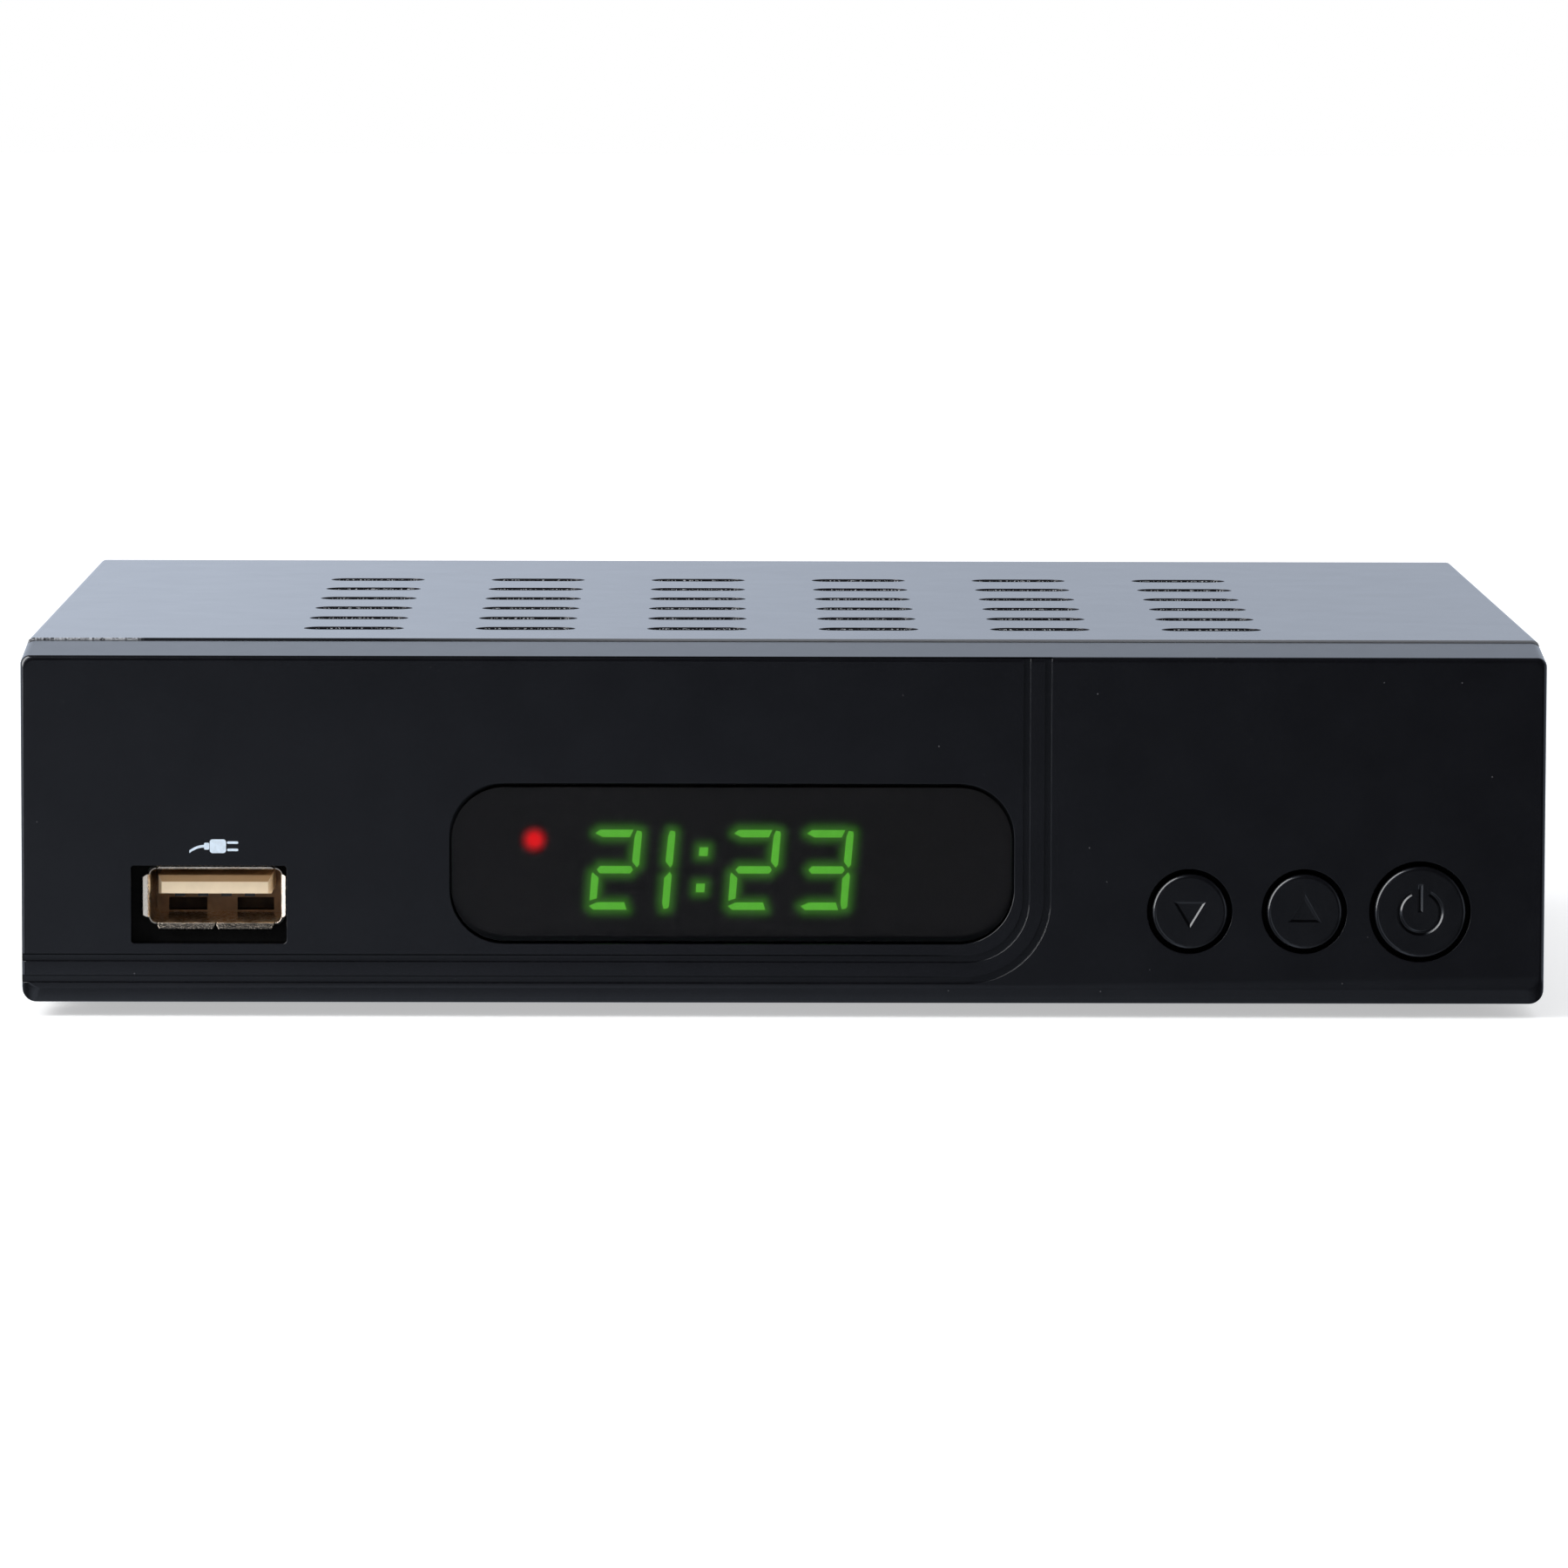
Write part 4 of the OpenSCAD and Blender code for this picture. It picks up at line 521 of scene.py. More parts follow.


# Where the lines of painted shade end on the right, and the height of each trim line's upper edge with its
# share
trim_end = 19
trim_lines = {6.27: 0.85, 4.17: 0.5}
finish["panel_plastic"] = panel_plastic()
tree = finish["panel_plastic"].node_tree
# Painted shade in the gaps round the holes, round the window and along the trim lines' upper edges
take_light(zone_share(tree, "front_panel", **gap, start=0.35),
           zone_share(tree, "display_lens", inset=1.0, corner=5.5, start=0.02),
           *[line_share(tree, height, trim_end, share) for height, share in trim_lines.items()])
finish["cover_paint"] = cover_paint("semi_gloss_black")
cover_finish = cover_paint("semi_gloss_black_rubbed_edge")
tree = cover_finish.node_tree
# Bare steel on the cut front edge, and painted highlights in the slots
recolour(bare_edge_and_glint_share(tree), (0.62, 0.64, 0.68))
print("Panel and cover finishes made")

# %% [markdown]
# ## Window, light and ivory
# The display window is clear smoked acrylic: light passes, but only about a quarter of it. What glows behind
# it is therefore made that much brighter. The lit bars are diffusers with an even green, the lamp is clear
# red, and the data socket's tongue is ivory plastic that has yellowed a little; its top faces are painted
# darker and browner, as shade.

# %% Window, lit bars, lamp and tongue
window_share = 0.25
wall_back = (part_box("display_lens")[1].y - face_y) / MM - 1.2
lit_green = (0.085, 0.410, 0.028)


def smoked_window():
    """Smoked acrylic with fine wiping marks in its gloss."""
    material, tree, skin = new_finish("smoked_acrylic")
    smoke = (window_share, window_share * 0.97, window_share)
    give(skin, Base_Color=colours(cloud(tree, 9), rgb(*smoke, 0.97), rgb(*smoke, 1.03)),
         Roughness=span(cloud(tree, 4, 4.0, (1, 1, 3)), 0.02, 0.07), IOR=1.30, Transmission_Weight=1.0)
    return material


def glowing(name, tone, strength):
    """A diffuser lit from behind: nearly even, with a slight mottle."""
    material, tree, skin = new_finish(name)
    give(skin, Emission_Color=colours(cloud(tree, 0.6), rgb(*tone, 0.95), rgb(*tone, 1.04)),
         Roughness=span(cloud(tree, 1), 0.4, 0.5), Base_Color=rgb(*tone, 0.2),
         Emission_Strength=strength)
    return material


finish["smoked_window"] = smoked_window()
tree = finish["smoked_window"].node_tree
# Painted shade on the lens's edges and flange behind the face, so the gap round the window reads black
take_light(zone_share(tree, "display_lens", inset=-1.0, corner=0.5, start=0.40, stop=wall_back + 0.1))
finish["lit_green"] = glowing("lit_green_bars", lit_green, 1 / window_share)
finish["lamp_red"] = glowing("lit_red_lamp", (0.66, 0.008, 0.012), 1.0)
finish["tongue_plastic"] = moulded("ivory_tongue", (0.98, 0.80, 0.56), 0.42, 0.2, 0.004, 2, 0.05)
tree = finish["tongue_plastic"].node_tree
# Painted shade: the tongue's top faces turn darker and browner
recolour(ramp(facing_of(tree)["Z"], 0.3, 0.6, 0.0, 1.0), (0.68, 0.44, 0.23))
print("Window lets through", window_share)

# %% [markdown]
# ## Circuit board and capacitor sleeves
# The boards are green solder mask over copper: tracks show as slightly lighter lines. A brick texture drawn
# very fine gives such lines without modelling them. A capacitor's sleeve is shiny dark blue with a pale
# stripe that marks one lead, made by looking at which side of the can a point is on.

# %% Board and sleeves
def board_mask():
    """Green solder mask with tracks under it."""
    material, tree, skin = new_finish("green_solder_mask")
    tracks = add(tree, "ShaderNodeTexBrick", {"offset": 0.5}, Vector=own_place(tree), Scale=260.0,
                 Mortar_Size=0.03, Brick_Width=0.9, Row_Height=0.28).outputs["Fac"]
    mask = colours(cloud(tree, 8, 3.0), rgb(0.012, 0.085, 0.035), rgb(0.018, 0.115, 0.048))
    give(skin, Base_Color=blend(tracks, mask, rgb(0.035, 0.21, 0.085)),
         Roughness=span(cloud(tree, 2), 0.28, 0.38), Normal=relief(tracks, 0.02))
    return material


def sleeve_film():
    """Shrunk sleeve with a stripe of pale ink on the left of each can, and a bare top."""
    material, tree, skin = new_finish("capacitor_sleeve")
    facing = facing_of(tree)
    stripe = below(facing["X"], -0.86)
    top = above(facing["Z"], 0.8)
    film = colours(cloud(tree, 3), rgb(0.018, 0.036, 0.085), rgb(0.026, 0.050, 0.110))
    film = blend(stripe, film, rgb(0.45, 0.50, 0.56))
    give(skin, Base_Color=blend(top, film, rgb(0.70, 0.71, 0.72)), Metallic=top,
         Roughness=span(cloud(tree, 1), 0.18, 0.28))
    return material


finish["board"] = board_mask()
finish["capacitor_sleeve"] = sleeve_film()
print(len(finish), "finishes for", len({*slot_of.values()}), "slots")

# %% [markdown]
# ## Every solid gets its finish
# A solid whose shape is right stays as it is and only changes its material. This loop gives each one the
# finish of its slot; the cells after it replace the ones that need rounder edges or more detail.

# %% Finish the solids
for node, shape in frame["nodes"].items():
    shape.material_slots[0].material = finish[slot_of[node]]
print("Finished", len(frame["nodes"]), "solids")

# %% [markdown]
# ## Softened edges
# No folded sheet or moulding has a razor edge: a radius of a tenth of a millimetre is enough to catch a line
# of light. The solid's triangles are copied, merged, joined into flat faces again, and a Bevel modifier
# rounds every edge that turns more than the facets of a curve do. Hardened and weighted normals keep the
# large faces flat and bend only the small ones.

# %% Softened copies
def keep_piece(piece, nodes, body="case"):
    """Puts a finished piece on its body and lets it stand for solids."""
    scene.collection.objects.link(piece)
    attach(piece, body)
    if nodes:
        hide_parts(*nodes)


def round_edges(piece, radius, turn):
    """Rounds every edge that turns more than an angle."""
    rounding = piece.modifiers.new("rounded_edges", "BEVEL")
    rounding.width, rounding.segments = radius, 2
    rounding.limit_method, rounding.angle_limit = "ANGLE", math.radians(turn)
    rounding.harden_normals = True
    return rounding


def softened(node, radius, material):
    """A copy of a solid with its edges rounded, in place of the solid."""
    shell = bmesh.new()
    shell.from_mesh(frame["nodes"][node].data)
    bmesh.ops.remove_doubles(shell, verts=shell.verts, dist=0.02 * MM)
    bmesh.ops.dissolve_limit(shell, angle_limit=math.radians(0.2), verts=shell.verts, edges=shell.edges)
    mesh = bpy.data.meshes.new(node + "_softened")
    shell.to_mesh(mesh)
    shell.free()
    if "custom_normal" in mesh.attributes:
        mesh.attributes.remove(mesh.attributes["custom_normal"])
    mesh.shade_smooth()
    mesh.materials.clear()
    mesh.materials.append(material)
    piece = bpy.data.objects.new(node + "_softened", mesh)
    round_edges(piece, radius * MM, 30).use_clamp_overlap = False
    piece.modifiers.new("flat_faces", "WEIGHTED_NORMAL")
    keep_piece(piece, [node], body_of[node])


edge_radius = {
    "front_panel": 0.06, "display_lens": 0.08, "chassis_tray": 0.06, "down_button": 0.04,
    "up_button": 0.04, "power_button": 0.04, "tv_socket_body": 0.08, "power_socket_body": 0.15,
    "audio_socket_body": 0.15, "aerial_in_sleeve": 0.08, "aerial_out_sleeve": 0.08,
    "audio_socket_sleeve": 0.08, "video_socket_shell": 0.08, "aerial_in_contact": 0.06,
    "audio_socket_contact": 0.06, "aerial_insulators": 0.08, "tuner_can": 0.15, "tuner_lid": 0.12,
    "video_socket_tongue": 0.10, "heat_sink": 0.10, "crystal": 0.25, "ribbon_headers": 0.15,
    "main_chip": 0.15, "memory_chips": 0.12, "thermal_pad": 0.08, "digit_module": 0.20,
    "remote_sensor": 0.15, "voltage_regulators": 0.06, "capacitors": 0.30, "inductors": 0.25,
    "standoffs": 0.12, "down_switch": 0.15, "up_switch": 0.15, "power_switch": 0.15,
    "switch_frames": 0.05, "down_plunger": 0.20, "up_plunger": 0.20, "power_plunger": 0.20,
    "aerial_out_pin": 0.30, "power_socket_pin": 0.25, "tv_socket_contacts": 0.05, "main_board": 0.06,
    "front_board": 0.06, "status_lamp": 0.10,
}
for node, radius in edge_radius.items():
    softened(node, radius, finish[slot_of[node]])
softened("top_cover", 0.06, cover_finish)
print("Softened", len(edge_radius) + 1, "solids")

# %% [markdown]
# ## Geometry Nodes as a workshop
# Screws, feet and wires repeat, so one tree makes each kind and puts it where it is wanted. The tree's sizes
# are named inputs, and the result is turned into a plain mesh, because the modifier itself is not wanted on
# the finished piece. Every tree ends the same way: instances become real faces and get their material.

# %% Tree helpers
def new_tree(name, **sizes):
    """An empty tree with a named input for each size."""
    tree = bpy.data.node_groups.new(name, "GeometryNodeTree")
    face = tree.interface
    face.new_socket("Geometry", in_out="INPUT", socket_type="NodeSocketGeometry")
    for label, value in sizes.items():
        kind = "NodeSocketInt" if isinstance(value, int) else "NodeSocketFloat"
        face.new_socket(label.replace("_", " "), in_out="INPUT", socket_type=kind).default_value = value
    face.new_socket("Geometry", in_out="OUTPUT", socket_type="NodeSocketGeometry")
    given = tree.nodes.new("NodeGroupInput").outputs
    return tree, given, tree.nodes.new("NodeGroupOutput").inputs["Geometry"]


def grow(name, tree, base, **sizes):
    """Runs a tree on a base mesh and returns the result as a plain mesh object."""
    seed = bpy.data.objects.new(name + "_seed", base)
    scene.collection.objects.link(seed)
    nodes = seed.modifiers.new("nodes", "NODES")
    nodes.node_group = tree
    for item in tree.interface.items_tree:
        label = item.name.replace(" ", "_")
        if item.in_out == "INPUT" and label in sizes:
            nodes[item.identifier] = sizes[label]
    mesh = bpy.data.meshes.new_from_object(seed.evaluated_get(bpy.context.evaluated_depsgraph_get()))
    mesh.name = name
    seed.modifiers.remove(nodes)
    bpy.data.objects.remove(seed)
    return bpy.data.objects.new(name, mesh)


def joined(*parts):
    """Several geometries as one."""
    node = add(tree_of(*parts), "GeometryNodeJoinGeometry")
    for part in parts:
        feed(node.inputs["Geometry"], part)
    return node.outputs["Geometry"]


def moved(shape, **place):
    """A geometry moved or turned."""
    return made(tree_of(shape), "GeometryNodeTransform", Geometry=shape, **place)


def as_real(shape, material):
    """Instances as real faces with a material."""
    tree = tree_of(shape)
    real = made(tree, "GeometryNodeRealizeInstances", Geometry=shape)
    return made(tree, "GeometryNodeSetMaterial", Geometry=real, Material=material)


def swept(curve, radius, sides):
    """A round rod along a curve."""
    tree = tree_of(curve)
    section = made(tree, "GeometryNodeCurvePrimitiveCircle", {"mode": "RADIUS"}, Resolution=sides,
                   Radius=radius)
    return made(tree, "GeometryNodeCurveToMesh", Curve=curve, Profile_Curve=section, Fill_Caps=True)


def faceted(piece, turn=35.0):
    """Smooth shading that keeps the edges that turn sharply."""
    piece.data.shade_smooth()
    piece.data.set_sharp_from_angle(angle=math.radians(turn))


print("Tree helpers ready")

# %% [markdown]
# ## Turned shapes on seats
# Screw heads and feet are turned: a disc is drawn up and narrowed step by step. They are planted on seats. A
# seat is a loose point with the way that the planted piece faces, and it is read from the loose parts of the
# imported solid, so that every piece sits where its solid was.

# %% Seats and turned shapes
def seats(points):
    """A mesh of loose points, each with the way that what is planted there faces."""
    mesh = bpy.data.meshes.new("seats")
    mesh.from_pydata([place for place, _ in points], [], [])
    facing = mesh.attributes.new("facing", "FLOAT_VECTOR", "POINT")
    for item, (_, way) in zip(facing.data, points):
        item.vector = way
    return mesh


def planted(points, shape, material):
    """A shape on every seat, turned to face its way, as real faces with a material."""
    tree = tree_of(points)
    facing = made(tree, "GeometryNodeInputNamedAttribute", {"data_type": "FLOAT_VECTOR"}, Name="facing")
    turn = made(tree, "FunctionNodeAlignRotationToVector", {"axis": "Z"}, Vector=facing)
    put = made(tree, "GeometryNodeInstanceOnPoints", Points=points, Instance=shape, Rotation=turn)
    return as_real(put, material)


def turned(diameter, height, rises, sides):
    """A disc drawn up and narrowed in steps, each a share of the height and a scale."""
    tree = tree_of(diameter)
    disc = made(tree, "GeometryNodeMeshCircle", {"fill_type": "NGON"}, Vertices=sides,
                Radius=times(diameter, 0.5))
    shape, top = disc, True
    for rise, scale in rises:
        drawn = add(tree, "GeometryNodeExtrudeMesh", {"mode": "FACES"}, Mesh=shape, Selection=top,
                    Offset_Scale=times(height, rise), Individual=False)
        top = drawn.outputs["Top"]
        shape = made(tree, "GeometryNodeScaleElements", {"domain": "FACE"}, Geometry=drawn.outputs["Mesh"],
                     Selection=top, Scale=scale)
    base = made(tree, "GeometryNodeFlipFaces", Mesh=disc)
    return made(tree, "GeometryNodeMergeByDistance", Geometry=joined(shape, base), Distance=0.001 * MM)


def loose_boxes(node):
    """The lowest and highest corner of each loose part of a solid."""
    shell = bmesh.new()
    shell.from_mesh(frame["nodes"][node].data)
    bmesh.ops.remove_doubles(shell, verts=shell.verts, dist=0.001 * MM)
    waiting, boxes = set(shell.verts), []
    while waiting:
        edge = [waiting.pop()]
        part = list(edge)
        while edge:
            near = {link.other_vert(point) for point in edge for link in point.link_edges} & waiting
            waiting -= near
            edge = list(near)
            part += edge
        boxes.append((Vector([min(point.co[i] for point in part) for i in range(3)]),
                      Vector([max(point.co[i] for point in part) for i in range(3)])))
    shell.free()
    return boxes


print("Seats and turned shapes ready")

# %% [markdown]
# ## Screws
# The case is held by black screws with a domed head and a cross recess, the boards by smaller bright ones.
# One tree turns the head, cuts the cross with a boolean, and winds a thread round the shank. The seats are
# read from the solids, whose shank ends tell where each head begins.

# %% Screws
def upward(height):
    """A vector that points up by a height."""
    return made(tree_of(height), "ShaderNodeCombineXYZ", Z=height)


def screw_tree(name, material):
    """A cross-head screw on every seat."""
    tree, given, result = new_tree(name, Head_Diameter=5.4 * MM, Head_Height=1.2 * MM,
                                   Shank_Radius=1.2 * MM, Shank_Length=3.2 * MM, Thread_Pitch=0.6 * MM)
    width, height, radius = given["Head Diameter"], given["Head Height"], given["Shank Radius"]
    length, pitch = given["Shank Length"], given["Thread Pitch"]
    rises = ((0.25, 1.0), (0.25, 0.93), (0.20, 0.87), (0.15, 0.80), (0.10, 0.68), (0.05, 0.45))
    head = turned(width, height, rises, 40)
    arm = made(tree, "ShaderNodeCombineXYZ", X=times(width, 0.5), Y=times(width, 0.12),
               Z=times(height, 1.1))
    bar = made(tree, "GeometryNodeMeshCube", Size=arm)
    cut = add(tree, "GeometryNodeMeshBoolean", {"operation": "DIFFERENCE"}, Mesh_1=head)
    for turn in (0, math.pi / 2):
        part = moved(bar, Translation=upward(height), Rotation=(0, 0, turn))
        feed(cut.inputs["Mesh 2"], part)
    down = times(length, -1.0)
    shank = made(tree, "GeometryNodeMeshCylinder", Vertices=24, Radius=radius, Depth=length)
    shank = moved(shank, Translation=upward(times(down, 0.5)))
    winding = made(tree, "GeometryNodeCurveSpiral", Resolution=20, Start_Radius=radius, End_Radius=radius,
                   Rotations=work_out("DIVIDE", length, pitch), Height=length)
    thread = moved(swept(winding, times(pitch, 0.28), 4), Translation=upward(down))
    screw = joined(cut.outputs["Mesh"], shank, thread)
    feed(result, planted(given["Geometry"], screw, material))
    return tree


def screw_seats(node, way, shank):
    """Where the heads of a solid's screws sit. The way is given for the positive side."""
    found = []
    for low, high in loose_boxes(node):
        middle = (low + high) / 2
        facing = Vector(way)
        if abs(facing.x) and middle.x < 0:
            facing.x = -facing.x
        reach = Vector([abs(v) for v in facing]).dot(high - low) / 2
        found.append((middle + facing * (shank - reach), facing))
    return found


case_screws = screw_tree("case_screw", finish["black_screw"])
board_screws = screw_tree("board_screw", finish["bright_screw"])
board_sizes = {"Head_Diameter": 4.4 * MM, "Head_Height": 1.1 * MM, "Shank_Radius": 0.9 * MM,
               "Thread_Pitch": 0.45 * MM}
screw_kinds = (
    ("cover_side_screws", case_screws, (1, 0, 0), 3.2, {}),
    ("cover_rear_screws", case_screws, (0, 1, 0), 3.2, {}),
    ("panel_screws", case_screws, (0, 0, -1), 4.0, {}),
    ("main_board_screws", board_screws, (0, 0, 1), 5.0, board_sizes),
    ("front_board_screws", board_screws, (0, 1, 0), 5.0, board_sizes),
)
for node, kind, way, shank, sizes in screw_kinds:
    places = screw_seats(node, way, shank * MM)
    screws = grow(node + "_cut", kind, seats(places), Shank_Length=shank * MM, **sizes)
    faceted(screws)
    keep_piece(screws, [node])
    print(node, len(places), "screws,", len(screws.data.polygons), "faces")

# %% [markdown]
# ## Feet
# Four moulded rubber feet keep the box off the table. Each is a disc with a rounded lower edge and a shallow
# dished sole, so that it grips like a sucker. It is turned upward in the tree and planted facing down.

# %% Feet
tree, given, result = new_tree("foot", Foot_Diameter=11.0 * MM, Foot_Height=2.2 * MM)
edge_rises = ((0.70, 1.0), (0.16, 0.975), (0.10, 0.965), (0.04, 0.95))
sole_rises = ((0.0, 0.72), (-0.10, 0.95), (-0.06, 0.90))
foot = turned(given["Foot Diameter"], given["Foot Height"], edge_rises + sole_rises, 48)
feed(result, planted(given["Geometry"], foot, finish["foot_rubber"]))
floor_of_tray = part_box("chassis_tray")[0].z
foot_places = [(Vector(((low.x + high.x) / 2, (low.y + high.y) / 2, floor_of_tray)), Vector((0, 0, -1)))
               for low, high in loose_boxes("rubber_feet")]
feet = grow("rubber_feet_turned", tree, seats(foot_places), Foot_Height=floor_of_tray)
faceted(feet)
keep_piece(feet, ["rubber_feet"])
print(len(foot_places), "feet")

# %% [markdown]
# ## The light mask behind the window
# Behind the smoked window lies a black mask sheet. The lit bars stand in it, and a glow round them is painted
# into the sheet as emission; the lamp's light is painted on it as a soft red spot. A fine grid of faces
# carries both painted glows as point attributes: Geometry Proximity measures how far each point is from the
# nearest lit bar, and plain distance does the same for the lamp. The material then only has to turn the two
# attributes into light.

# %% Light mask
def mask_sheet_finish():
    """Black sheet with a painted green and red glow, read from the sheet's own attributes."""
    material, tree, skin = new_finish("glowing_mask")
    glows = []
    for label, tone in (("green_glow", lit_green), ("red_glow", (0.68, 0.001, 0.003))):
        share = add(tree, "ShaderNodeAttribute", {"attribute_name": label}).outputs["Fac"]
        glows.append(steps_of(tone, ("SCALE", share)))
    black = colours(cloud(tree, 3, 4.0), rgb(0.004, 0.0035, 0.0035), rgb(0.008, 0.006, 0.006))
    give(skin, Base_Color=black, Roughness=span(cloud(tree, 1), 0.5, 0.6),
         Emission_Color=steps_of(glows[0], ("ADD", glows[1])), Emission_Strength=1 / window_share)
    return material


lens_low, lens_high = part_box("display_lens")
lamp_low, lamp_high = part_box("status_lamp")
bars_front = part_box("lit_segments")[0].y
sheet_inset = 1.5 * MM
sheet_y = bars_front + 0.05 * MM

tree, given, result = new_tree("light_mask", Width=1.0, Height=1.0, Cell=0.25 * MM, Green_Reach=1.25 * MM,
                               Red_Core=0.5 * MM, Red_Reach=1.75 * MM, Lamp_X=0.0, Lamp_Z=0.0)
count_x, count_z = [work_out("CEIL", work_out("DIVIDE", given[side], given["Cell"]))
                    for side in ("Width", "Height")]
grid = made(tree, "GeometryNodeMeshGrid", Size_X=given["Width"], Size_Y=given["Height"], Vertices_X=count_x,
            Vertices_Y=count_z)
middle = (lens_low + lens_high) / 2
sheet = moved(grid, Translation=(middle.x, sheet_y, middle.z), Rotation=(math.pi / 2, 0, 0))
bars = add(tree, "GeometryNodeObjectInfo", Object=frame["nodes"]["lit_segments"]).outputs["Geometry"]
near_bar = tree.nodes.new("GeometryNodeProximity")
feed(near_bar.inputs[0], bars)
fade = ramp(near_bar.outputs["Distance"], 0.0, given["Green Reach"], 1.0, 0.0)
green = times(work_out("POWER", fade, 2.2), 0.32)
lamp_place = made(tree, "ShaderNodeCombineXYZ", X=given["Lamp X"], Z=given["Lamp Z"])
away = steps_of(made(tree, "GeometryNodeInputPosition"), ("SUBTRACT", lamp_place),
                ("MULTIPLY", (1, 0, 1)), ("LENGTH", None))
red = work_out("POWER", ramp(away, given["Red Core"], given["Red Reach"], 1.0, 0.0), 2.4)
for label, value in (("green_glow", green), ("red_glow", red)):
    sheet = made(tree, "GeometryNodeStoreNamedAttribute", {"data_type": "FLOAT", "domain": "POINT"},
                 Geometry=sheet, Name=label, Value=value)
feed(result, as_real(sheet, mask_sheet_finish()))
mask = grow("light_mask_sheet", tree, bpy.data.meshes.new("nothing"),
            Width=lens_high.x - lens_low.x - 2 * sheet_inset,
            Height=lens_high.z - lens_low.z - 2 * sheet_inset,
            Lamp_X=(lamp_low.x + lamp_high.x) / 2, Lamp_Z=(lamp_low.z + lamp_high.z) / 2)
sheet_thickness = mask.modifiers.new("sheet", "SOLIDIFY")
sheet_thickness.thickness = 0.06 * MM
sheet_thickness.offset = -1
keep_piece(mask, [])
print("Mask sheet with", len(mask.data.polygons), "faces")

# %% [markdown]
# ## Lofts
# What is left is mostly bent sheet and small mouldings. Nearly all of it is lofted: rings of points in a row
# are joined into a closed skin, so one helper serves them all. A tube closes into a circle of rings; other
# pieces get a cap at each end.

# %% Loft helpers
def loft(shell, rings, closed=False):
    """Joins rings of points into a closed skin."""
    loops = [[shell.verts.new(point) for point in ring] for ring in rings]
    for one, other in zip(loops, loops[1:] + loops[:1] if closed else loops[1:]):
        for i in range(len(one)):
            j = (i + 1) % len(one)
            shell.faces.new((one[i], one[j], other[j], other[i]))
    if not closed:
        shell.faces.new(loops[0][::-1])
        shell.faces.new(loops[-1])


def rounded_outline(half_w, half_h, radius, steps=6):
    """A rectangle with round corners, corner by corner."""
    points = []
    for side_x, side_z, start in ((1, 1, 0), (-1, 1, 90), (-1, -1, 180), (1, -1, 270)):
        for step in range(steps + 1):
            angle = math.radians(start + 90 * step / steps)
            points.append((side_x * (half_w - radius) + radius * math.cos(angle),
                           side_z * (half_h - radius) + radius * math.sin(angle)))
    return points


def finish_shell(shell, name, material, radius=None):
    """Turns a bmesh into an object with outward faces, a material and softened edges."""
    bmesh.ops.recalc_face_normals(shell, faces=shell.faces)
    mesh = bpy.data.meshes.new(name)
    shell.to_mesh(mesh)
    shell.free()
    mesh.materials.append(material)
    piece = bpy.data.objects.new(name, mesh)
    faceted(piece)
    if radius:
        round_edges(piece, radius, 35)
    return piece


print("Loft helpers ready")

# %% [markdown]
# ## The data socket
# The shell is one folded strip of nickel-plated steel: a tube with round corners whose mouth opens in four
# flared lips, with short corner pieces standing between them and a seam in the middle of the lower lip. The
# tube's cut end is not plated, and the lower lip gets patches of painted shade, so the finish turns dark
# there.

# %% Data socket shell
shell_low, shell_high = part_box("data_socket_shell")
shell_wall, cad_flare, lip_length, corner = 0.3 * MM, 0.35 * MM, 1.2 * MM, 0.9 * MM
mouth = (shell_low + shell_high) / 2
half_w = (shell_high.x - shell_low.x) / 2 - cad_flare + 0.2 * MM
half_h = (shell_high.z - shell_low.z) / 2 - cad_flare + 0.1 * MM
shell_mid = mouth + Vector((0.15 * MM, 0, 0.1 * MM))
lip_y, tube_y, back_y = shell_low.y, shell_low.y + lip_length, shell_high.y
corner_y = tube_y - 0.75 * MM
corner_thin = 0.16 * MM
corner_steps = 6
across_x, up_z = Vector((1, 0, 0)), Vector((0, 0, 1))
lip_x, lip_z, seam = half_w - corner - 0.1 * MM, half_h - corner + 0.1 * MM, 0.06 * MM
lip_slope, lip_round, lip_back, lip_thin = 1.3, 0.25 * MM, 0.20 * MM, 0.14 * MM
flare_top, flare_bottom, flare_right, flare_left = 0.25 * MM, 0.58 * MM, 0.44 * MM, 0.70 * MM


def shrunk_outline(inset):
    """The shell's outline, drawn in by an inset."""
    return rounded_outline(half_w - inset, half_h - inset, corner - inset, corner_steps)


def wall_ring(outer, inner, front, back):
    """The four points of a wall's section, at one point of its outer and of its inner outline."""
    section = ((*outer, back), (*outer, front), (*inner, front), (*inner, back))
    return [(shell_mid.x + x, y, shell_mid.z + z) for x, z, y in section]


def lip(along, out, start, end, reach, flare):
    """A lip that runs straight and then bends outward, with round corners, in a side's own directions."""
    rings = []
    bend_y = lip_y + flare / lip_slope
    for y, spread, corner_in in ((tube_y, 0.0, 0.0), (bend_y + 0.1 * MM, 0.0, 0.0), (bend_y, 0.04, 0.0),
                                 (bend_y * 0.5 + lip_y * 0.5, 0.5, 0.15), (lip_y, 1.0, 1.0)):
        near, far = start + lip_round * corner_in, end - lip_round * corner_in
        inner, back = reach - shell_wall + flare * spread, y + lip_back * min(spread * 2, 1.0)
        outer = inner + shell_wall - lip_thin * min(spread * 2, 1.0)
        ring = [(near, outer, back), (far, outer, back), (far, inner, y), (near, inner, y)]
        rings.append([Vector((shell_mid.x, ring_y, shell_mid.z)) + along * a + out * b
                      for a, b, ring_y in ring])
    loft(shell, rings)


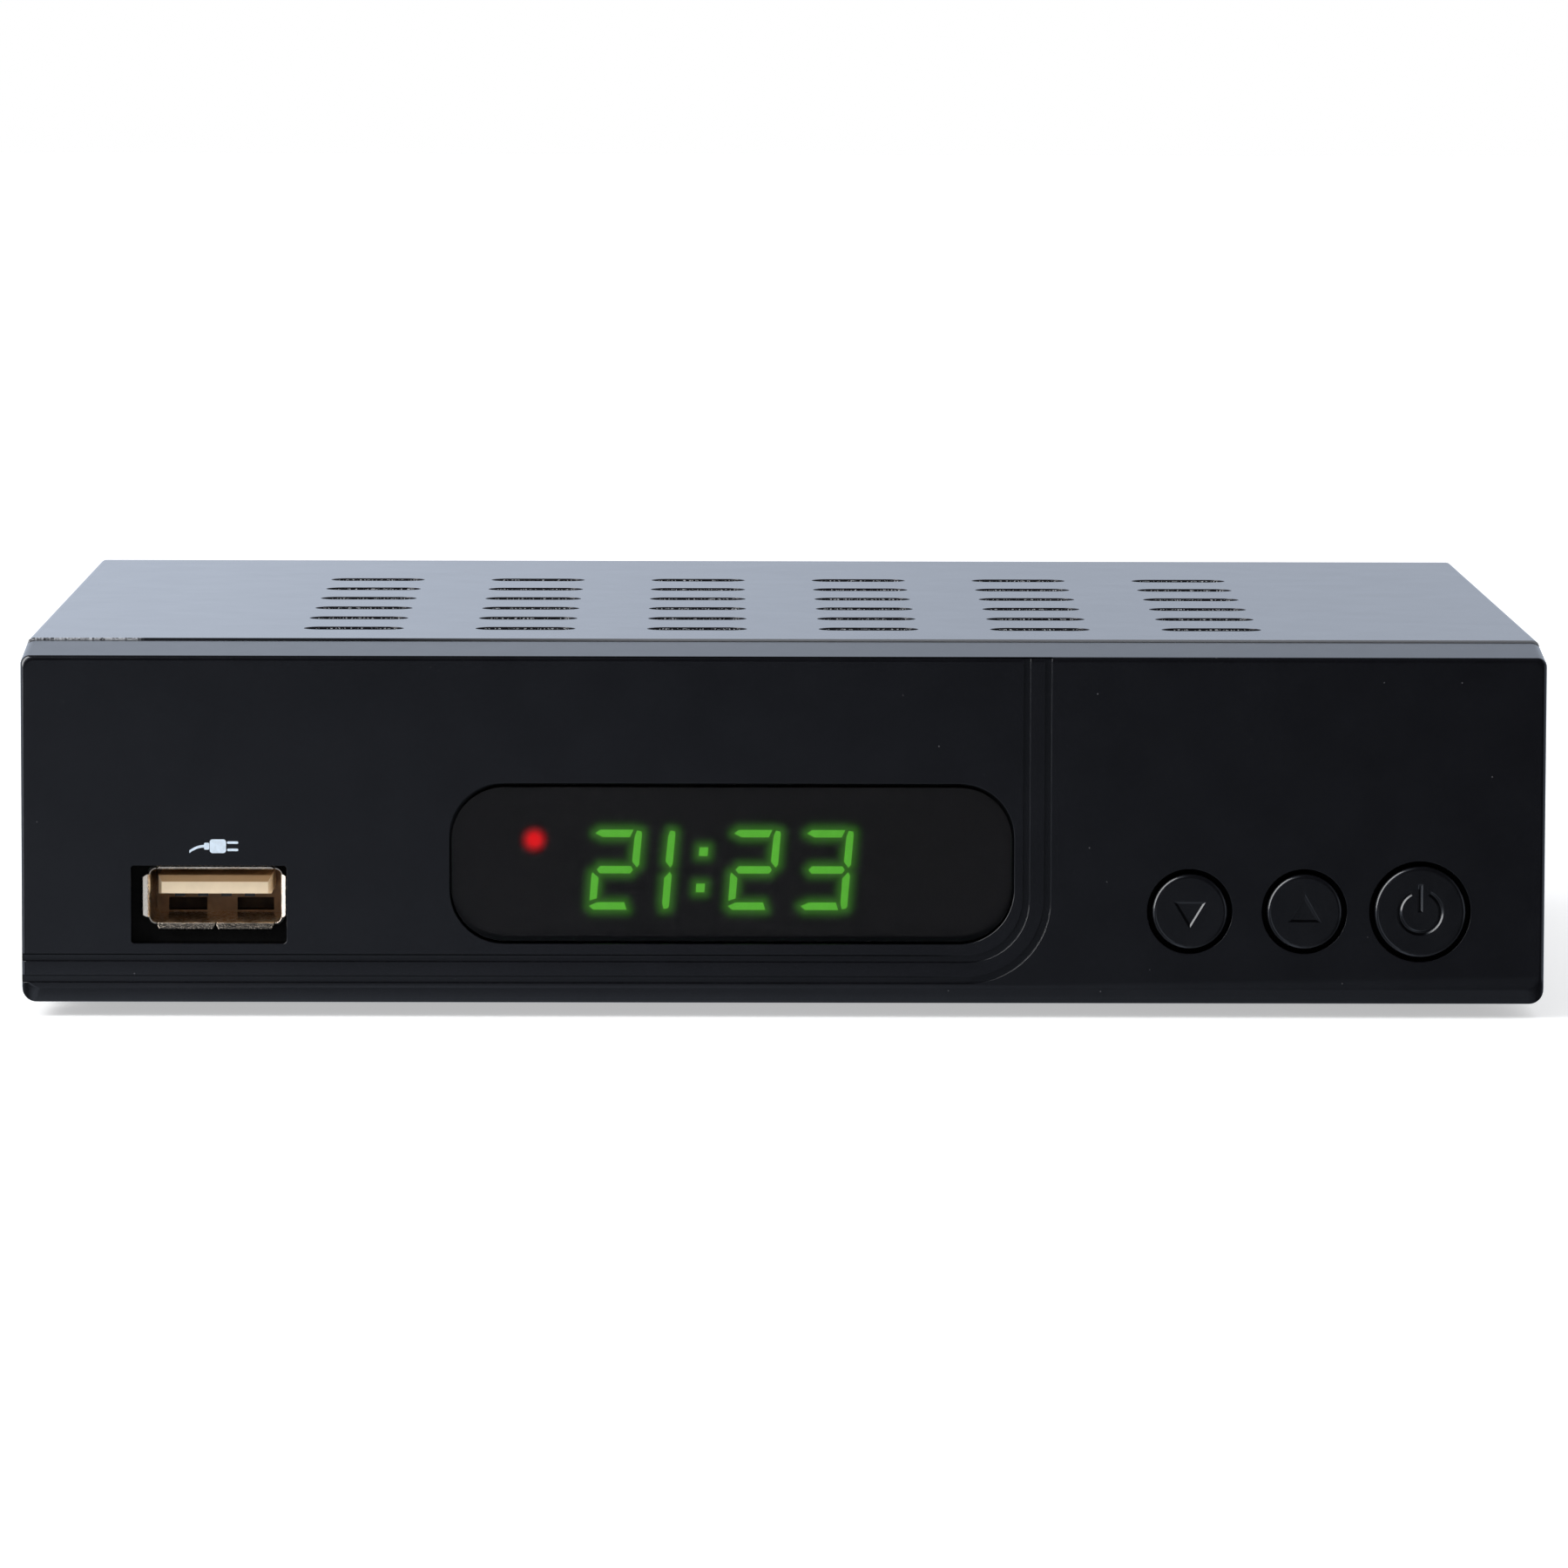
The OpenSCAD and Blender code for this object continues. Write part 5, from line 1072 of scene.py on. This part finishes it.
shell = bmesh.new()
inside = shrunk_outline(shell_wall)
loft(shell, [wall_ring(*pair, tube_y, back_y) for pair in zip(shrunk_outline(0.0), inside)], closed=True)
corner_pairs = list(zip(shrunk_outline(corner_thin), inside))
for first in range(0, len(corner_pairs), corner_steps + 1):
    loft(shell, [wall_ring(*pair, corner_y, tube_y) for pair in corner_pairs[first:first + corner_steps + 1]])
lip(across_x, up_z, -lip_x, lip_x, half_h, flare_top)
lip(across_x, -up_z, -lip_x, -seam, half_h, flare_bottom)
lip(across_x, -up_z, seam, lip_x, half_h, flare_bottom)
lip(up_z, across_x, -lip_z, lip_z, half_w, flare_right)
lip(up_z, -across_x, -lip_z, lip_z, half_w, flare_left)

socket_steel = plated("satin_nickel", (0.97, 0.85, 0.70), 0.22, (0.82, 0.68, 0.52), (1, 6, 1), 0.006)
tree = socket_steel.node_tree
x, y, z = split(own_place(tree))
cut_end = times(below(facing_of(tree)["Y"], -0.9), above(y, corner_y + 0.1 * MM))
recolour(cut_end, (0.05, 0.045, 0.04))
# Painted shade: the lower lip is darkened in patches
lower_lip_shade = times(below(y, tube_y - 0.1 * MM), below(z, shell_mid.z - half_h + 0.2 * MM),
                  span(cloud(tree, 0.12, 3.0), 1.3, 0.2))
recolour(lower_lip_shade, (0.08, 0.070, 0.060))
socket_shell = finish_shell(shell, "data_socket_folded_shell", socket_steel, 0.05 * MM)
keep_piece(socket_shell, ["data_socket_shell"])
print("Data socket shell with", len(socket_shell.data.polygons), "faces")

# %% [markdown]
# ## The socket's tongue
# Inside the shell an ivory tongue stands out of a block, with its front edges cut slanting so that a plug
# slides on. The tongue is a loft of three rings.

# %% Data socket tongue
tongue_low, tongue_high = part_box("data_socket_tongue")
tongue_half, tongue_bottom, tongue_top = 5.6 * MM, 11.975 * MM, 13.825 * MM
block_front = tongue_high.y - 2.5 * MM


def upright_ring(y, x0, x1, z0, z1):
    """The four corners of an upright rectangle."""
    return [(x0, y, z0), (x1, y, z0), (x1, y, z1), (x0, y, z1)]


shell = bmesh.new()
rings = []
for y, side_in, top_in, bottom_in in ((tongue_low.y, 0.35, 0.62, 0.08), (tongue_low.y + 0.6 * MM, 0, 0, 0),
                                      (block_front + 0.1 * MM, 0, 0, 0)):
    half = tongue_half - side_in * MM
    rings.append(upright_ring(y, mouth.x - half, mouth.x + half, tongue_bottom + bottom_in * MM,
                              tongue_top - top_in * MM))
loft(shell, rings)
tongue = finish_shell(shell, "data_socket_ivory_tongue", finish["tongue_plastic"], 0.05 * MM)
keep_piece(tongue, ["data_socket_tongue"])
print("Tongue", round(2 * tongue_half / MM, 1), "mm wide")

# %% [markdown]
# ## The block behind the tongue
# The block has two windows for the plug's springs. It is drawn as a grid of cells, of which two are pushed
# back. The block is the tongue's ivory painted dark brown as shade, and the two windows get a darker painted
# shade. Four slots under the tongue lead to the contacts; they are plain black boxes of painted shade.

# %% Data socket block and slots
columns = [mouth.x + x * MM for x in (-6.25, -5.05, -1.25, 1.75, 5.4, 6.55)]
rows = [tongue_low.z, tongue_low.z + 0.12 * MM, tongue_low.z + 1.4 * MM, tongue_high.z + 0.2 * MM]
window_depth = 1.9 * MM
window_row, window_columns = 1, (1, 3)
shell = bmesh.new()


def patch(corners, skin_index=0):
    """One face of the block."""
    shell.faces.new([shell.verts.new(place) for place in corners]).material_index = skin_index


def side_patch(start, end, back, skin_index=0):
    """One face of the block that runs back from its front, along an edge of a cell."""
    (xa, za), (xb, zb) = start, end
    patch([(xa, block_front, za), (xb, block_front, zb), (xb, back, zb), (xa, back, za)], skin_index)


for column in range(len(columns) - 1):
    for row in range(len(rows) - 1):
        x0, x1, z0, z1 = columns[column], columns[column + 1], rows[row], rows[row + 1]
        outline = [(x0, z0), (x1, z0), (x1, z1), (x0, z1)]
        pushed = row == window_row and column in window_columns
        deep = block_front + (window_depth if pushed else 0.0)
        patch([(x, deep, z) for x, z in outline], int(pushed))
        patch([(x, tongue_high.y, z) for x, z in reversed(outline)])
        for (xa, za), (xb, zb) in zip(outline, outline[1:] + outline[:1]):
            on_side = xa == xb and xa in (columns[0], columns[-1])
            on_end = za == zb and za in (rows[0], rows[-1])
            if on_side or on_end:
                side_patch((xa, za), (xb, zb), tongue_high.y)
            elif pushed:
                side_patch((xa, za), (xb, zb), deep, 1)
bmesh.ops.remove_doubles(shell, verts=shell.verts, dist=0.001 * MM)
# Painted shade: the block and, darker still, its windows
shaded_ivory = moulded("shaded_ivory", (0.36, 0.22, 0.12), 0.5, 0.2, 0.006, 1.5, 0.2)
window_shade = moulded("window_shade", (0.075, 0.042, 0.022), 0.7, 0.2, 0.006, 1.5, 0.2)
block = finish_shell(shell, "data_socket_block", shaded_ivory)
block.data.materials.append(window_shade)
keep_piece(block, [])

# Painted shade: black boxes where the contact slots open
shell = bmesh.new()
for low, high in loose_boxes("data_socket_contacts"):
    loft(shell, [upright_ring(y, low.x, high.x, low.z, tongue_bottom + 0.1 * MM)
                 for y in (tongue_low.y + 0.05 * MM, low.y + 0.02 * MM)])
slots = finish_shell(shell, "data_socket_contact_slots", finish["socket_black"])
keep_piece(slots, [])
print("Block and", len(slots.data.polygons) // 6, "contact slots")

# %% [markdown]
# ## Shade ring and printed sign
# A black ring of painted shade fills the gap between the socket and the panel's opening, so the inside of the
# box stays dark. Above the socket a small sign is printed in pale ink: a plain plug with two prongs and a bit
# of cord, as a hint of what goes in there. Ink has almost no thickness, so the sign is a plate of two
# hundredths of a millimetre.

# %% Shade ring and plug sign
# Painted shade: a black ring in the gap round the socket
shade_ring_front, shade_ring_back = tube_y + 0.1 * MM, tube_y + 0.6 * MM
shade_ring_margin, shade_ring_gap = 2.4 * MM, 0.02 * MM
shell = bmesh.new()
outer, inner = [rounded_outline(half_w + wider, half_h + wider, corner, corner_steps)
                for wider in (shade_ring_margin, shade_ring_gap)]
loft(shell, [wall_ring(*pair, shade_ring_front, shade_ring_back) for pair in zip(outer, inner)], closed=True)
shade_black = moulded("black_foam", (0.006, 0.006, 0.006), 0.85, 0.3, 0.05, Specular_IOR_Level=0.1)
shade_ring = finish_shell(shell, "data_socket_dust_seal", shade_black)
keep_piece(shade_ring, [])

sign_middle = Vector((-56.0 * MM, face_y, 17.0 * MM))
ink_height = 0.02 * MM
plug_body, plug_prong, plug_neck = (0.80, 0.68, 0.28), (0.55, 0.12, 0.11), (0.26, 0.34, 0.12)
prong_rise, cord_half = 0.36, 0.13
cord_steps = 14
shell = bmesh.new()


def inked(outline, right=0.0, up=0.0):
    """A patch of ink with an outline in millimetres, moved from the sign's middle."""
    loft(shell, [[sign_middle + Vector(((x + right) * MM, y, (z + up) * MM)) for x, z in outline]
                 for y in (-ink_height, 0.0)])


inked(rounded_outline(*plug_body), 0.35)
for prong in (-prong_rise, prong_rise):
    inked(rounded_outline(*plug_prong), 1.80, prong)
inked(rounded_outline(*plug_neck), -0.75)
cord_shares = [i / cord_steps for i in range(cord_steps + 1)]
cord_top = [(-1.0 - 1.45 * share, cord_half - 0.55 * share ** 2) for share in cord_shares]
inked(cord_top + [(x, z - 2 * cord_half) for x, z in reversed(cord_top)])
ink = moulded("pale_ink", (0.60, 0.70, 0.80), 0.5, 0.1, 0.002, 0.4, 0.08)
sign = finish_shell(shell, "plug_sign_print", ink)
keep_piece(sign, [])
print("Sign at", [round(v / MM, 1) for v in sign_middle], "mm")

# %% [markdown]
# ## Ribbon cable
# A flat cable joins the two boards: sixteen insulated wires side by side, bent through a quarter turn. The
# bend is drawn once as a path, swept with a round section, and repeated across the width.

# %% Ribbon cable
cable_low, cable_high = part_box("ribbon_cable")
wire_count, bend_steps = 16, 16
wire_radius = 0.45 * MM
wire_pitch = (cable_high.x - cable_low.x - 2 * wire_radius) / (wire_count - 1)
bend_radius = cable_high.z - cable_low.z - wire_radius
bend_angles = [math.pi / 2 * i / bend_steps for i in range(bend_steps + 1)]
bend = [(cable_low.x + wire_radius, cable_low.y + bend_radius * math.sin(angle),
         cable_low.z + bend_radius * math.cos(angle)) for angle in bend_angles]
path = bpy.data.meshes.new("ribbon_bend")
path.from_pydata(bend, [(i, i + 1) for i in range(bend_steps)], [])
tree, given, result = new_tree("ribbon", Wires=wire_count, Pitch=0.87 * MM, Wire_Radius=wire_radius)
line = made(tree, "GeometryNodeMeshToCurve", Mesh=given["Geometry"])
wire = swept(line, given["Wire Radius"], 10)
step = made(tree, "ShaderNodeCombineXYZ", X=given["Pitch"])
row = made(tree, "GeometryNodeMeshLine", Count=given["Wires"], Offset=step)
put = made(tree, "GeometryNodeInstanceOnPoints", Points=row, Instance=wire)
feed(result, as_real(put, finish["ribbon"]))
ribbon = grow("ribbon_wires", tree, path, Pitch=wire_pitch)
faceted(ribbon, 50)
keep_piece(ribbon, ["ribbon_cable"])
print("Ribbon of", len(ribbon.data.polygons), "faces")
